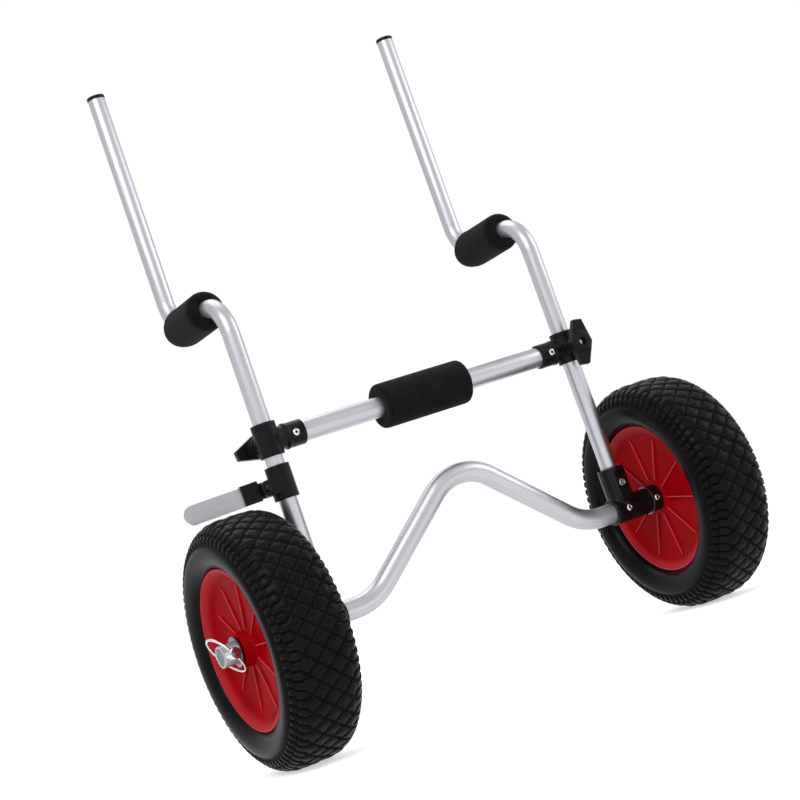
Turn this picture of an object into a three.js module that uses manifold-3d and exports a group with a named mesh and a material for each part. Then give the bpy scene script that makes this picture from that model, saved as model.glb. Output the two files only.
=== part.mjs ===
// Kayak cart for sit-on-top hulls: two bent posts that stand up through the hull's scupper holes,
// a crossbar and an arched axle tube between them, and a ribbed plastic wheel on each axle end.
// Millimetres, +Z up. The floor is z = 0, and the axle runs along X.
import * as THREE from "three";
import { mergeVertices } from "three/addons/utils/BufferGeometryUtils.js";
import Module from "manifold-3d";

// Clearances
const gap = 0.3; // between pieces that touch or slide
const overrun = 1; // how far a cutting tool passes the wall it cuts

// Axle tube, with its arch between the posts
const axleTubeRadius = 11;
const axleTubeWall = 2;
const archApexHeight = 111.4; // where the straight flanks would meet, above the axle
const archFootRun = 37.4; // from the block's mouth in to the corner of the lower bend
const archCrestBend = 54;
const archFootBend = 62;
const archLeanDegrees = 8; // the arch leans forward about the axle
const axleEndReach = 6.5; // from the linch pin out to the tube's end
const axlePlugInset = 0.5; // from the tube's end back to the plug's face

// Axle blocks
const postSpacing = 373.4;
const blockWall = 3;
const blockInnerReach = 16.7; // from the post's axis to the block's inner mouth
const blockOuterReach = 29.9;
const socketTop = 46.5; // above the axle
const socketFloorWall = 2.7;
const padWidth = 16;
const padDepth = 1.6; // how far the flat screw pad stands out of the round socket
const padMargin = 3.5;
const padBottom = 8; // above the axle
const postScrewHeight = 28.5;
const postScrewRadius = 2.2;
const postScrewHeadRadius = 3.6;
const postScrewHeadDepth = 2.2;
const postGrooveDepth = 0.9;
const blockRivetInset = 1.7; // from the post's axis towards the middle

// Rivets
const rivetRadius = 2;
const rivetHeadRadius = 3.6;
const rivetHeadThickness = 1.2;
const rivetEyeRadius = 1.2;
const rivetEyeDepth = 3;

// Parts on the axle between the block and the wheel, and outside the wheel
const washerThickness = 1.2;
const washerRim = 4.4; // how far a washer stands out round the axle tube
const collarLength = 9.7;
const collarWall = 3.2;
const bushFlangeThickness = 1.6;
const bushFlangeRim = 1.4;
const bushWall = 2.4;
const bushLength = 18;

// Wheels
const tyreRadius = 127;
const tyreWidth = 82.5;
const tyreShoulderRadius = 27;
const rimLipRadius = 82.5;
const rimLipThickness = 2.2;
const rimOuterReach = 34; // from the wheel's middle plane to the outer lip
const rimInnerReach = 28.7;
const rimBarrelRadius = 75;
const rimWall = 3;
const webReach = 21.5; // from the middle plane to the face of each web
const hubInnerReach = 23.7;
const hubWall = 3.5;
const ribCount = 10;
const outerRibDegrees = 18; // where the first rib stands on each face
const innerRibDegrees = 9;
const ribHeight = 3.5;
const ribThickness = 2;

// Linch pins and their rings
const pinClearance = 6.4; // from the outer washer to the pin's shank
const pinRadius = 3.5;
const pinHeadRadius = 6;
const pinHeadLength = 15.5;
const ringRadius = 23.2;
const ringWireRadius = 1.3;
const ringTiltDegrees = 32;

// Posts
const postRadius = 9.5;
const postWall = 2;
const postTop = 612.5; // above the axle, where the cap begins
const shoulderHeight = 338;
const shoulderReach = 142; // from the lower run back to the upper run
const postBend = 37;
const capRim = 0.5;
const capHeight = 4;
const capPlugLength = 16;
const capChamfer = 1.2;

// Foam sleeves
const shoulderFoamRadius = 22.2;
const shoulderFoamWrapDegrees = 31; // how far the sleeve follows the upper bend
const crossbarFoamRadius = 24.4;
const crossbarFoamLength = 104;
const crossbarFoamOffset = -3;
const foamEdge = 5;
const foamEdgeShare = 1 / 3; // of the edge, left by the middle of its rounding

// Crossbar and its tees
const crossbarRadius = 11;
const crossbarWall = 1.5;
const teeWall = 3.2;
const teeArmWall = 1.8;
const teeNeckWall = 0.8;
const teeNeckEnd = 17; // from the post's axis
const teeArmReach = 39;
const teeRivetReach = 27;
const teeBelow = 16; // from the crossbar's axis down to the collar's end
const teeAbove = 19;
const teeGapBelow = 9.5; // bare post between the kickstand's collar and the tee

// Clamp knobs
const knobBossRadius = 8.6;
const knobBossReach = 21.7; // from the post's axis
const knobStudRadius = 3;
const knobStudSlack = 2.8; // from the post to the stud's tip, unscrewed so that the post turns
const knobNutRadius = 5.8;
const knobNutThickness = 5;
const knobHubRadius = 11;
const knobHubLength = 16;
const knobWingSpan = 50;
const knobWingWidth = 26;
const knobTipWidth = 10;
const knobWingDepth = 9;
const knobWingSetback = 2; // from the hub's front face
const knobEyeRadius = 4.5;
const knobEyeDepth = 3;
const rightKnobTurnDegrees = 9.5; // from upright, top outwards
const leftKnobTurnDegrees = 97;

// Kickstand on the left post
const standCollarAbove = 19.5; // from the pivot up to the collar's end
const standCollarBelow = 15.5;
const standPivotReach = 19; // from the post's axis
const standTyreClearance = 4.2;
const standLegWidth = 19.5;
const standLegThickness = 4;
const standLegLength = 91; // from the pivot to the tip
const standLegDroopDegrees = 1.5;
const standTongueRadius = 5.6;
const standEarRadius = 7.5;
const standEarThickness = 4.5;
const standEarSpan = 10; // between the two ears
const standPadStart = 8.2;
const standPadEnd = 27;
const standPadDepth = 2.2;
const standPadLip = 1;
const standBoltRadius = 2.5;
const standBoltHeadRadius = 4.6;
const standBoltHeadHeight = 2.6;

// Facets
const tubeSides = 16;
const wheelSides = 32;
const smallSides = 12;
const rivetSides = 8;
const hexSides = 6;
const boreSides = 12; // inside a hollow tube
const bendSteps = 6;
const shoulderSteps = 4;
const ringSteps = 24;
const ringSides = 6;

// Places along the axle, out from the middle of the cart
const postX = postSpacing / 2;
const blockInnerX = postX - blockInnerReach;
const blockOuterX = postX + blockOuterReach;
const innerWasherX = blockOuterX + gap;
const collarX = innerWasherX + washerThickness + gap;
const innerFlangeX = collarX + collarLength + gap;
const hubInnerX = innerFlangeX + bushFlangeThickness + gap;
const wheelX = hubInnerX + hubInnerReach;
const outerFlangeX = wheelX + rimOuterReach + gap;
const outerWasherX = outerFlangeX + bushFlangeThickness + gap;
const pinX = outerWasherX + washerThickness + pinClearance + pinRadius;
const axleEndX = pinX + axleEndReach;

// Heights above the axle
const standPivotZ = tyreRadius + standTyreClearance + standLegWidth / 2;
const crossbarZ = standPivotZ + standCollarAbove + teeGapBelow + teeBelow;
const socketFloorZ = axleTubeRadius + gap + socketFloorWall;

// Sizes that follow from the ones above
const blockRadius = axleTubeRadius + gap + blockWall;
const collarRadius = axleTubeRadius + gap + collarWall;
const bushRadius = axleTubeRadius + gap + bushWall;
const hubBoreRadius = bushRadius + gap;
const hubRadius = hubBoreRadius + hubWall;
const teeRadius = postRadius + gap + teeWall;
const teeArmRadius = crossbarRadius + gap + teeArmWall;
const capRadius = postRadius + capRim;
const rivetHoleRadius = rivetRadius + gap;
const depthCentre = (shoulderReach + capRadius - tyreRadius) / 2;

const quarterTurn = Math.PI / 2;
const fullTurn = 2 * Math.PI;

const library = await Module();
library.setup();

const materials = {
  aluminium: new THREE.MeshStandardMaterial({ color: 0xc6c8cc, roughness: 0.38, metalness: 0.9 }),
  steel: new THREE.MeshStandardMaterial({ color: 0xd6d8da, roughness: 0.22, metalness: 1 }),
  blackSteel: new THREE.MeshStandardMaterial({ color: 0x26272a, roughness: 0.4, metalness: 0.8 }),
  nylon: new THREE.MeshStandardMaterial({ color: 0x28282b, roughness: 0.5, metalness: 0 }),
  foam: new THREE.MeshStandardMaterial({ color: 0x232325, roughness: 0.95, metalness: 0 }),
  tyre: new THREE.MeshStandardMaterial({ color: 0x1b1b1d, roughness: 0.7, metalness: 0 }),
  rim: new THREE.MeshStandardMaterial({ color: 0xb4181c, roughness: 0.35, metalness: 0 }),
  stand: new THREE.MeshStandardMaterial({ color: 0xa3a5aa, roughness: 0.5, metalness: 0.7 }),
};

// Turns a shape built along Y so that it runs along the named axis.
const alongAxis = {
  x: (geometry) => geometry.rotateZ(-quarterTurn),
  y: (geometry) => geometry,
  z: (geometry) => geometry.rotateX(quarterTurn),
};

/** The closed geometry as a solid that can be joined and cut. */
function solid(geometry) {
  const bare = geometry.index ? geometry.toNonIndexed() : geometry.clone();
  bare.deleteAttribute("normal");
  bare.deleteAttribute("uv");
  const merged = mergeVertices(bare);
  return new library.Manifold(
    new library.Mesh({
      numProp: 3,
      vertProperties: merged.attributes.position.array,
      triVerts: new Uint32Array(merged.index.array),
    }),
  );
}

/** The solid as a geometry. */
function geometryOf(body) {
  const { vertProperties, triVerts } = body.getMesh();
  const geometry = new THREE.BufferGeometry();
  geometry.setAttribute("position", new THREE.BufferAttribute(vertProperties, 3));
  geometry.setIndex(new THREE.BufferAttribute(triVerts, 1));
  geometry.computeVertexNormals();
  return geometry;
}

/** A named piece of the cart. */
function piece(name, body, material) {
  const mesh = new THREE.Mesh(geometryOf(body), material);
  mesh.name = name;
  return mesh;
}

/** A round rod along an axis, from low to high. */
function rod(axis, radius, low, high, sides = smallSides) {
  const geometry = new THREE.CylinderGeometry(radius, radius, high - low, sides);
  return alongAxis[axis](geometry.translate(0, (low + high) / 2, 0));
}

/** A block between two corners. */
function block(low, high) {
  const size = high.map((value, i) => value - low[i]);
  const middle = high.map((value, i) => (value + low[i]) / 2);
  return new THREE.BoxGeometry(...size).translate(...middle);
}

/** A turned shape: its outline is a list of [along, radius] that runs round a closed section. */
function turned(axis, outline, sides = smallSides) {
  const area = outline.reduce((sum, [x, r], i) => {
    const [nextX, nextR] = outline[(i + 1) % outline.length];
    return sum + x * nextR - nextX * r;
  }, 0);
  const section = (area > 0 ? [...outline].reverse() : outline).map(
    ([along, radius]) => new THREE.Vector2(radius, along),
  );
  return alongAxis[axis](new THREE.LatheGeometry([...section, section[0]], sides));
}

/** A round sleeve: a bored rod along an axis. */
function sleeve(axis, bore, radius, low, high, sides = smallSides) {
  const outline = [[low, bore], [high, bore], [high, radius], [low, radius]];
  return turned(axis, outline, sides);
}

/** The points of a circle, for a section or a hole in one. */
function circle(radius, sides) {
  return Array.from({ length: sides }, (_, i) => {
    const angle = (fullTurn * i) / sides;
    return new THREE.Vector2(radius * Math.cos(angle), radius * Math.sin(angle));
  });
}

/** A centre line of straight runs joined by round bends, with its points only where it turns. */
class BentLine extends THREE.Curve {
  constructor(corners, bends) {
    super();
    this.stations = [];
    corners.forEach((corner, i) => {
      const before = corners[i - 1];
      const after = corners[i + 1];
      if (before && after) this.addBend(before, corner, after, bends[i - 1]);
      else this.addEnd(corner, before ?? after, Boolean(before));
    });
  }

  /** The first or last point, which looks along its straight run. */
  addEnd(point, neighbour, last) {
    const tangent = point.clone().sub(neighbour).normalize();
    this.stations.push({ point, tangent: last ? tangent : tangent.negate() });
  }

  /** The points of a round bend at a corner. */
  addBend(before, corner, after, radius) {
    const into = corner.clone().sub(before).normalize();
    const away = after.clone().sub(corner).normalize();
    const turn = into.angleTo(away);
    const start = corner.clone().addScaledVector(into, -radius * Math.tan(turn / 2));
    const side = away.clone().addScaledVector(into, -away.dot(into)).normalize();
    for (let i = 0; i <= bendSteps; i++) {
      const angle = (turn * i) / bendSteps;
      const point = start.clone().addScaledVector(into, radius * Math.sin(angle));
      point.addScaledVector(side, radius * (1 - Math.cos(angle)));
      const tangent = into.clone().multiplyScalar(Math.cos(angle));
      this.stations.push({ point, tangent: tangent.addScaledVector(side, Math.sin(angle)) });
    }
  }

  get steps() {
    return this.stations.length - 1;
  }

  getPointAt(share) {
    return this.stations[Math.round(share * this.steps)].point.clone();
  }

  getTangentAt(share) {
    return this.stations[Math.round(share * this.steps)].tangent.clone();
  }
}

/** A pipe along a bent line, whose bore has a number of sides of its own. */
function pipe(line, radius, bore, sides) {
  const section = new THREE.Shape(circle(radius, tubeSides));
  section.holes.push(new THREE.Path(circle(bore, sides).reverse()));
  return new THREE.ExtrudeGeometry(section, {
    steps: line.steps,
    extrudePath: line,
    bevelEnabled: false,
  });
}

/** A through rivet along Y, with a blind eye in each head; its heads seat at plus and minus seat. */
function rivet(name, seat) {
  const inner = seat + gap;
  const outer = inner + rivetHeadThickness;
  let body = solid(rod("y", rivetRadius, -inner, inner, rivetSides));
  for (const side of [-1, 1]) {
    const [low, high] = [side * inner, side * outer].sort((a, b) => a - b);
    body = body.add(solid(rod("y", rivetHeadRadius, low, high, rivetSides)));
  }
  for (const side of [-1, 1]) {
    const ends = [side * (outer - rivetEyeDepth), side * (outer + overrun)];
    const [low, high] = ends.sort((a, b) => a - b);
    body = body.subtract(solid(rod("y", rivetEyeRadius, low, high, rivetSides)));
  }
  return piece(name, body, materials.steel);
}

/** A hole for a rivet along Y, at a place along X, through everything up to a reach. */
function rivetHole(x, reach) {
  return solid(rod("y", rivetHoleRadius, -reach, reach, rivetSides).translate(x, 0, 0));
}

/** The bent axle tube, from one axle end over the arch to the other. */
function axleTube() {
  const footX = blockInnerX - archFootRun;
  const lean = THREE.MathUtils.degToRad(archLeanDegrees);
  const crest = new THREE.Vector3(0, -Math.sin(lean), Math.cos(lean));
  const line = new BentLine(
    [
      new THREE.Vector3(-axleEndX, 0, 0),
      new THREE.Vector3(-footX, 0, 0),
      crest.multiplyScalar(archApexHeight),
      new THREE.Vector3(footX, 0, 0),
      new THREE.Vector3(axleEndX, 0, 0),
    ],
    [archFootBend, archCrestBend, archFootBend],
  );
  let body = solid(pipe(line, axleTubeRadius, axleTubeRadius - axleTubeWall, boreSides));
  const reach = axleTubeRadius + overrun;
  for (const side of [-1, 1]) {
    for (const x of [postX - blockRivetInset, collarX + collarLength / 2]) {
      body = body.subtract(rivetHole(side * x, reach));
    }
    const pinHole = rod("y", pinRadius + gap, -reach, reach).translate(side * pinX, 0, 0);
    body = body.subtract(solid(pinHole));
  }
  return piece("axle_tube", body, materials.aluminium);
}

/** The plug that closes one end of the axle tube, between the linch pin and the end. */
function axlePlug(name) {
  const start = pinX + pinRadius + 2 * gap;
  const radius = axleTubeRadius - axleTubeWall - gap;
  return piece(name, solid(rod("x", radius, start, axleEndX - axlePlugInset)), materials.nylon);
}

/** An axle block: an upright socket for the post on a sleeve over the axle tube. */
function axleBlock(name) {
  const front = blockRadius + padDepth;
  const padX = blockRadius - padWidth;
  let body = solid(rod("z", blockRadius, 0, socketTop, tubeSides));
  const across = rod("x", blockRadius, -blockInnerReach, blockOuterReach, tubeSides);
  body = body.add(solid(across));
  body = body.add(solid(block([padX, -front, padBottom], [blockRadius, 0, socketTop - padMargin])));
  const [inner, outer] = [-blockInnerReach - overrun, blockOuterReach + overrun];
  body = body.subtract(solid(rod("x", axleTubeRadius + gap, inner, outer, tubeSides)));
  const socket = rod("z", postRadius + gap, socketFloorZ, socketTop + overrun, tubeSides);
  body = body.subtract(solid(socket));
  const screwBore = rod("y", postScrewRadius + gap, -front - overrun, 0);
  body = body.subtract(solid(screwBore.translate(0, 0, postScrewHeight)));
  const seat = front - postScrewHeadDepth;
  const headBore = rod("y", postScrewHeadRadius + gap, -front - overrun, -seat);
  body = body.subtract(solid(headBore.translate(0, 0, postScrewHeight)));
  body = body.subtract(rivetHole(-blockRivetInset, blockRadius + overrun));
  return piece(name, body, materials.nylon);
}

/** The screw whose tip runs in the post's groove and keeps the post in its socket. */
function postScrew(name) {
  const seat = blockRadius + padDepth - postScrewHeadDepth;
  const tip = postRadius - postGrooveDepth + gap;
  const shank = solid(rod("y", postScrewRadius, -seat - gap, -tip));
  const head = solid(rod("y", postScrewHeadRadius, -seat - postScrewHeadDepth, -seat - gap));
  const mesh = piece(name, shank.add(head), materials.steel);
  mesh.position.z = postScrewHeight;
  return mesh;
}

/** The spacer collar that is riveted to the axle tube beside the hub. */
function spacerCollar(name) {
  const half = collarLength / 2;
  const body = solid(sleeve("x", axleTubeRadius + gap, collarRadius, -half, half, tubeSides));
  return piece(name, body.subtract(rivetHole(0, collarRadius + overrun)), materials.nylon);
}

/** A flat washer on the axle tube. */
function washer(name) {
  const bore = axleTubeRadius + gap;
  const rim = axleTubeRadius + washerRim;
  const body = solid(sleeve("x", bore, rim, 0, washerThickness, tubeSides));
  return piece(name, body, materials.steel);
}

/** A flanged bush that stands in the hub; its flange seats at x = 0 and faces outwards. */
function bush(name) {
  const bore = axleTubeRadius + gap;
  const outline = [
    [-bushLength, bore],
    [bushFlangeThickness + gap, bore],
    [bushFlangeThickness + gap, bushRadius + bushFlangeRim],
    [gap, bushRadius + bushFlangeRim],
    [gap, bushRadius],
    [-bushLength, bushRadius],
  ];
  return piece(name, solid(turned("x", outline, tubeSides)), materials.nylon);
}

/** The tyre's outline from its bore out to the tread, on the side that a sign names. */
function tyreSide(side, reach) {
  const seatX = webReach - rimWall;
  const lipX = reach - rimLipThickness;
  const shoulderX = tyreWidth / 2 - tyreShoulderRadius;
  const shoulderZ = tyreRadius - tyreShoulderRadius;
  const points = [
    [seatX - gap, rimBarrelRadius + gap],
    [lipX - gap, rimLipRadius + gap],
    [(lipX + tyreWidth / 2) / 2, (rimLipRadius + gap + shoulderZ) / 2],
  ];
  for (let i = 0; i <= shoulderSteps; i++) {
    const angle = (quarterTurn * i) / shoulderSteps;
    const x = shoulderX + tyreShoulderRadius * Math.cos(angle);
    points.push([x, shoulderZ + tyreShoulderRadius * Math.sin(angle)]);
  }
  return points.map(([x, r]) => [side * x, r]);
}

/** The foam-filled tyre. */
function tyre(name) {
  const outline = [...tyreSide(1, rimOuterReach), ...tyreSide(-1, rimInnerReach).reverse()];
  return piece(name, solid(turned("x", outline, wheelSides)), materials.tyre);
}

/** Half of the rim, seen from its open face: hub, web with ribs, and the barrel with its lip. */
function rimHalf(name, lipReach, hubReach, firstRib) {
  const start = gap / 2;
  const webBack = webReach - rimWall;
  const inside = rimBarrelRadius - rimWall;
  const outline = [
    [start, hubBoreRadius],
    [hubReach, hubBoreRadius],
    [hubReach, hubRadius],
    [webReach, hubRadius],
    [webReach, inside],
    [lipReach, rimLipRadius - rimLipThickness],
    [lipReach, rimLipRadius],
    [lipReach - rimLipThickness, rimLipRadius],
    [webBack, rimBarrelRadius],
    [start, rimBarrelRadius],
    [start, inside],
    [webBack, inside],
    [webBack, hubRadius],
    [start, hubRadius],
  ];
  let body = solid(turned("x", outline, wheelSides));
  const low = [webReach - rimWall / 2, -ribThickness / 2, hubRadius - hubWall / 2];
  const high = [webReach + ribHeight, ribThickness / 2, rimBarrelRadius - rimWall / 2];
  for (let i = 0; i < ribCount; i++) {
    const turn = THREE.MathUtils.degToRad(firstRib) + (fullTurn * i) / ribCount;
    const rib = block(low, high).rotateX(turn);
    body = body.add(solid(rib));
  }
  return piece(name, body, materials.rim);
}

/** A wheel with its two bushes, centred on its middle plane, with its outer face towards +X. */
function wheel(side) {
  const group = new THREE.Group();
  const outerHalf = rimHalf(`${side}_rim_outer`, rimOuterReach, rimOuterReach, outerRibDegrees);
  const innerHalf = rimHalf(`${side}_rim_inner`, rimInnerReach, hubInnerReach, innerRibDegrees);
  innerHalf.rotation.z = Math.PI;
  const outerBush = bush(`${side}_outer_bush`);
  outerBush.position.x = rimOuterReach;
  const innerBush = bush(`${side}_inner_bush`);
  innerBush.rotation.z = Math.PI;
  innerBush.position.x = -hubInnerReach;
  group.add(tyre(`${side}_tyre`), outerHalf, innerHalf, outerBush, innerBush);
  group.position.x = wheelX;
  return group;
}

/** A linch pin through the axle tube, with its head on the +Y side. */
function linchPin(name) {
  const tail = ringRadius - ringWireRadius - 2 * gap;
  const headStart = axleTubeRadius + 2 * gap;
  const headEnd = headStart + pinHeadLength;
  let body = solid(rod("y", pinRadius, -tail, headStart + overrun));
  body = body.add(solid(rod("y", pinHeadRadius, headStart, headEnd)));
  const sag = ringRadius - Math.sqrt(ringRadius ** 2 - pinHeadRadius ** 2);
  const eyeRadius = ringWireRadius + sag + gap;
  const eye = rod("z", eyeRadius, -2 * pinHeadRadius, 2 * pinHeadRadius);
  eye.translate(0, ringRadius, 0).rotateY(THREE.MathUtils.degToRad(ringTiltDegrees));
  const mesh = piece(name, body.subtract(solid(eye)), materials.steel);
  mesh.position.x = pinX;
  return mesh;
}

/** The wire ring that swings over the axle end and snaps round the pin's tail. */
function pinRing(name) {
  const ring = new THREE.TorusGeometry(ringRadius, ringWireRadius, ringSides, ringSteps);
  ring.rotateY(quarterTurn).rotateY(THREE.MathUtils.degToRad(ringTiltDegrees));
  const mesh = piece(name, solid(ring), materials.steel);
  mesh.position.x = pinX;
  return mesh;
}

/** A bent post, whose foot stands in the block's socket, with its groove for the screw. */
function postTube(name) {
  const line = new BentLine(
    [
      new THREE.Vector3(0, 0, socketFloorZ + gap),
      new THREE.Vector3(0, 0, shoulderHeight),
      new THREE.Vector3(0, shoulderReach, shoulderHeight),
      new THREE.Vector3(0, shoulderReach, postTop),
    ],
    [postBend, postBend],
  );
  const tube = solid(pipe(line, postRadius, postRadius - postWall, boreSides));
  const half = postScrewRadius + 2 * gap;
  const [low, high] = [postScrewHeight - half, postScrewHeight + half];
  const [bed, outside] = [postRadius - postGrooveDepth, postRadius + overrun];
  const groove = sleeve("z", bed, outside, low, high, tubeSides);
  return piece(name, tube.subtract(solid(groove)), materials.aluminium);
}

/** The foam sleeve on the post's shoulder, which follows the upper bend part of the way. */
function shoulderFoam(name) {
  const wrap = THREE.MathUtils.degToRad(shoulderFoamWrapDegrees);
  const run = postBend * Math.tan(wrap / 2);
  const cornerY = shoulderReach - postBend + run;
  const line = new BentLine(
    [
      new THREE.Vector3(0, postBend + gap, shoulderHeight),
      new THREE.Vector3(0, cornerY, shoulderHeight),
      new THREE.Vector3(
        0,
        cornerY + run * Math.cos(wrap),
        shoulderHeight + run * Math.sin(wrap),
      ),
    ],
    [postBend],
  );
  const body = solid(pipe(line, shoulderFoamRadius, postRadius + gap, tubeSides));
  return piece(name, body, materials.foam);
}

/** The cap that plugs a post's open top. */
function postCap(name) {
  const plug = postRadius - postWall - gap;
  const body = turned("z", [
    [-capPlugLength, 0],
    [gap, 0],
    [capHeight, 0],
    [capHeight, capRadius - capChamfer],
    [capHeight - capChamfer, capRadius],
    [gap, capRadius],
    [gap, plug],
    [-capPlugLength, plug],
  ]);
  const mesh = piece(name, solid(body), materials.nylon);
  mesh.position.set(0, shoulderReach, postTop);
  return mesh;
}

/** A post with what it carries, placed at its socket. */
function post(side, sign) {
  const group = new THREE.Group();
  group.add(
    postTube(`${side}_post_tube`),
    shoulderFoam(`${side}_shoulder_foam`),
    postCap(`${side}_post_cap`),
  );
  group.position.x = sign * postX;
  return group;
}

/** The crossbar between the two tees. */
function crossbar() {
  const end = postX - teeRadius - 2 * gap;
  const bore = crossbarRadius - crossbarWall;
  let body = solid(sleeve("x", bore, crossbarRadius, -end, end, tubeSides));
  for (const side of [-1, 1]) {
    const x = side * (postX - teeRivetReach);
    body = body.subtract(rivetHole(x, crossbarRadius + overrun));
  }
  return piece("crossbar_tube", body, materials.aluminium);
}

/** The foam sleeve on the middle of the crossbar. */
function crossbarFoam() {
  const half = crossbarFoamLength / 2;
  const bore = crossbarRadius + gap;
  const step = foamEdge * foamEdgeShare;
  const outline = [
    [-half, bore],
    [half, bore],
    [half, crossbarFoamRadius - foamEdge],
    [half - step, crossbarFoamRadius - step],
    [half - foamEdge, crossbarFoamRadius],
    [-half + foamEdge, crossbarFoamRadius],
    [-half + step, crossbarFoamRadius - step],
    [-half, crossbarFoamRadius - foamEdge],
  ];
  const mesh = piece("crossbar_foam", solid(turned("x", outline, tubeSides)), materials.foam);
  mesh.position.x = crossbarFoamOffset;
  return mesh;
}

/** A tee: a collar that clamps the post, an arm over the crossbar's end and a boss for the knob. */
function tee(name) {
  const bore = postRadius + gap;
  let body = solid(rod("z", teeRadius, -teeBelow, teeAbove, tubeSides));
  const neck = rod("x", crossbarRadius + gap + teeNeckWall, -teeNeckEnd - overrun, 0, tubeSides);
  body = body.add(solid(neck));
  body = body.add(solid(rod("x", teeArmRadius, -teeArmReach, -teeNeckEnd, tubeSides)));
  body = body.add(solid(rod("y", knobBossRadius, -knobBossReach, 0)));
  const postBore = rod("z", bore, -teeBelow - overrun, teeAbove + overrun, tubeSides);
  body = body.subtract(solid(postBore));
  const armBore = rod("x", crossbarRadius + gap, -teeArmReach - overrun, -teeRadius - gap, tubeSides);
  body = body.subtract(solid(armBore));
  body = body.subtract(solid(rod("y", knobStudRadius + gap, -knobBossReach - overrun, 0)));
  const pocket = knobBossReach - knobNutThickness - 2 * gap;
  const nutBore = rod("y", knobNutRadius + gap, -knobBossReach - overrun, -pocket, hexSides);
  body = body.subtract(solid(nutBore));
  body = body.subtract(rivetHole(-teeRivetReach, teeArmRadius + overrun));
  return piece(name, body, materials.nylon);
}

/** The hexagonal nut that is trapped in the tee's boss. */
function knobNut(name) {
  const start = -knobBossReach + gap;
  const end = start + knobNutThickness;
  const nut = solid(rod("y", knobNutRadius, start, end, hexSides));
  const bore = solid(rod("y", knobStudRadius + gap, start - overrun, end + overrun));
  return piece(name, nut.subtract(bore), materials.steel);
}

/** A wing knob in front of the tee's boss, bored through for its stud. */
function knob(name, turnDegrees) {
  const back = knobBossReach + gap;
  const front = back + knobHubLength;
  const [half, tip, span] = [knobWingWidth / 2, knobTipWidth / 2, knobWingSpan / 2];
  const outline = [[half, 0], [tip, span], [-tip, span], [-half, 0], [-tip, -span], [tip, -span]];
  const wings = new THREE.ExtrudeGeometry(
    new THREE.Shape(outline.map(([x, y]) => new THREE.Vector2(x, y))),
    { depth: knobWingDepth, bevelEnabled: false },
  );
  wings.rotateX(quarterTurn).translate(0, -front + knobWingSetback + knobWingDepth, 0);
  let body = solid(rod("y", knobHubRadius, -front, -back)).add(solid(wings));
  const bore = rod("y", knobStudRadius + gap, -front - overrun, -back + overrun);
  body = body.subtract(solid(bore));
  const eye = rod("y", knobEyeRadius, -front - overrun, -front + knobEyeDepth);
  body = body.subtract(solid(eye));
  const mesh = piece(name, body, materials.nylon);
  mesh.rotation.y = THREE.MathUtils.degToRad(turnDegrees);
  return mesh;
}

/** The knob's threaded stud, whose tip presses on the post once it is screwed in. */
function knobStud(name) {
  const front = knobBossReach + gap + knobHubLength - knobEyeDepth;
  const tip = postRadius + knobStudSlack;
  return piece(name, solid(rod("y", knobStudRadius, -front, -tip)), materials.steel);
}

/** What stands at one end of the cart, built for the right side: +X is outwards. */
function sideAssembly(side, turned180, knobTurn) {
  const group = new THREE.Group();
  const foot = new THREE.Group();
  const blockRivet = rivet(`${side}_block_rivet`, blockRadius);
  blockRivet.position.x = -blockRivetInset;
  foot.add(axleBlock(`${side}_axle_block`), blockRivet, postScrew(`${side}_post_screw`));
  foot.position.x = postX;
  const innerWasher = washer(`${side}_inner_washer`);
  innerWasher.position.x = innerWasherX;
  const outerWasher = washer(`${side}_outer_washer`);
  outerWasher.position.x = outerWasherX;
  const collar = new THREE.Group();
  collar.add(spacerCollar(`${side}_spacer_collar`), rivet(`${side}_collar_rivet`, collarRadius));
  collar.position.x = collarX + collarLength / 2;
  const head = new THREE.Group();
  const teeRivet = rivet(`${side}_tee_rivet`, teeArmRadius);
  teeRivet.position.x = -teeRivetReach;
  head.add(tee(`${side}_tee`), teeRivet, knobNut(`${side}_knob_nut`));
  head.add(knob(`${side}_knob`, knobTurn), knobStud(`${side}_knob_stud`));
  head.position.set(postX, 0, crossbarZ);
  group.add(foot, innerWasher, outerWasher, collar, head, wheel(side));
  group.add(linchPin(`${side}_linch_pin`), pinRing(`${side}_pin_ring`));
  group.add(axlePlug(`${side}_axle_plug`));
  group.rotation.z = turned180 ? Math.PI : 0;
  return group;
}

/** The collar on the left post with two ears for the kickstand's pivot. */
function standCollar() {
  const near = standEarSpan / 2;
  const far = near + standEarThickness;
  let body = solid(rod("z", teeRadius, -standCollarBelow, standCollarAbove, tubeSides));
  for (const [low, high] of [[-far, -near], [near, far]]) {
    const ear = rod("y", standEarRadius, low, high).translate(-standPivotReach, 0, 0);
    const arm = block([-standPivotReach, low, -standEarRadius], [0, high, standEarRadius]);
    body = body.add(solid(ear)).add(solid(arm));
  }
  const [bottom, top] = [-standCollarBelow - overrun, standCollarAbove + overrun];
  body = body.subtract(solid(rod("z", postRadius + gap, bottom, top, tubeSides)));
  const bolt = rod("y", standBoltRadius + gap, -far - overrun, far + overrun);
  body = body.subtract(solid(bolt.translate(-standPivotReach, 0, 0)));
  return piece("kickstand_collar", body, materials.nylon);
}

/** The pivot bolt with its head in front, and the nut that holds it behind. */
function standBolt() {
  const seat = standEarSpan / 2 + standEarThickness + gap;
  const end = seat + standBoltHeadHeight;
  const shank = solid(rod("y", standBoltRadius, -seat, end));
  const head = solid(rod("y", standBoltHeadRadius, -end, -seat));
  const bolt = piece("kickstand_bolt", shank.add(head), materials.blackSteel);
  const nutBody = solid(rod("y", standBoltHeadRadius, seat, end - gap, hexSides));
  const bore = solid(rod("y", standBoltRadius + gap, seat - overrun, end + overrun));
  const nut = piece("kickstand_nut", nutBody.subtract(bore), materials.blackSteel);
  const group = new THREE.Group();
  group.add(bolt, nut);
  group.position.x = -standPivotReach;
  return group;
}

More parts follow.
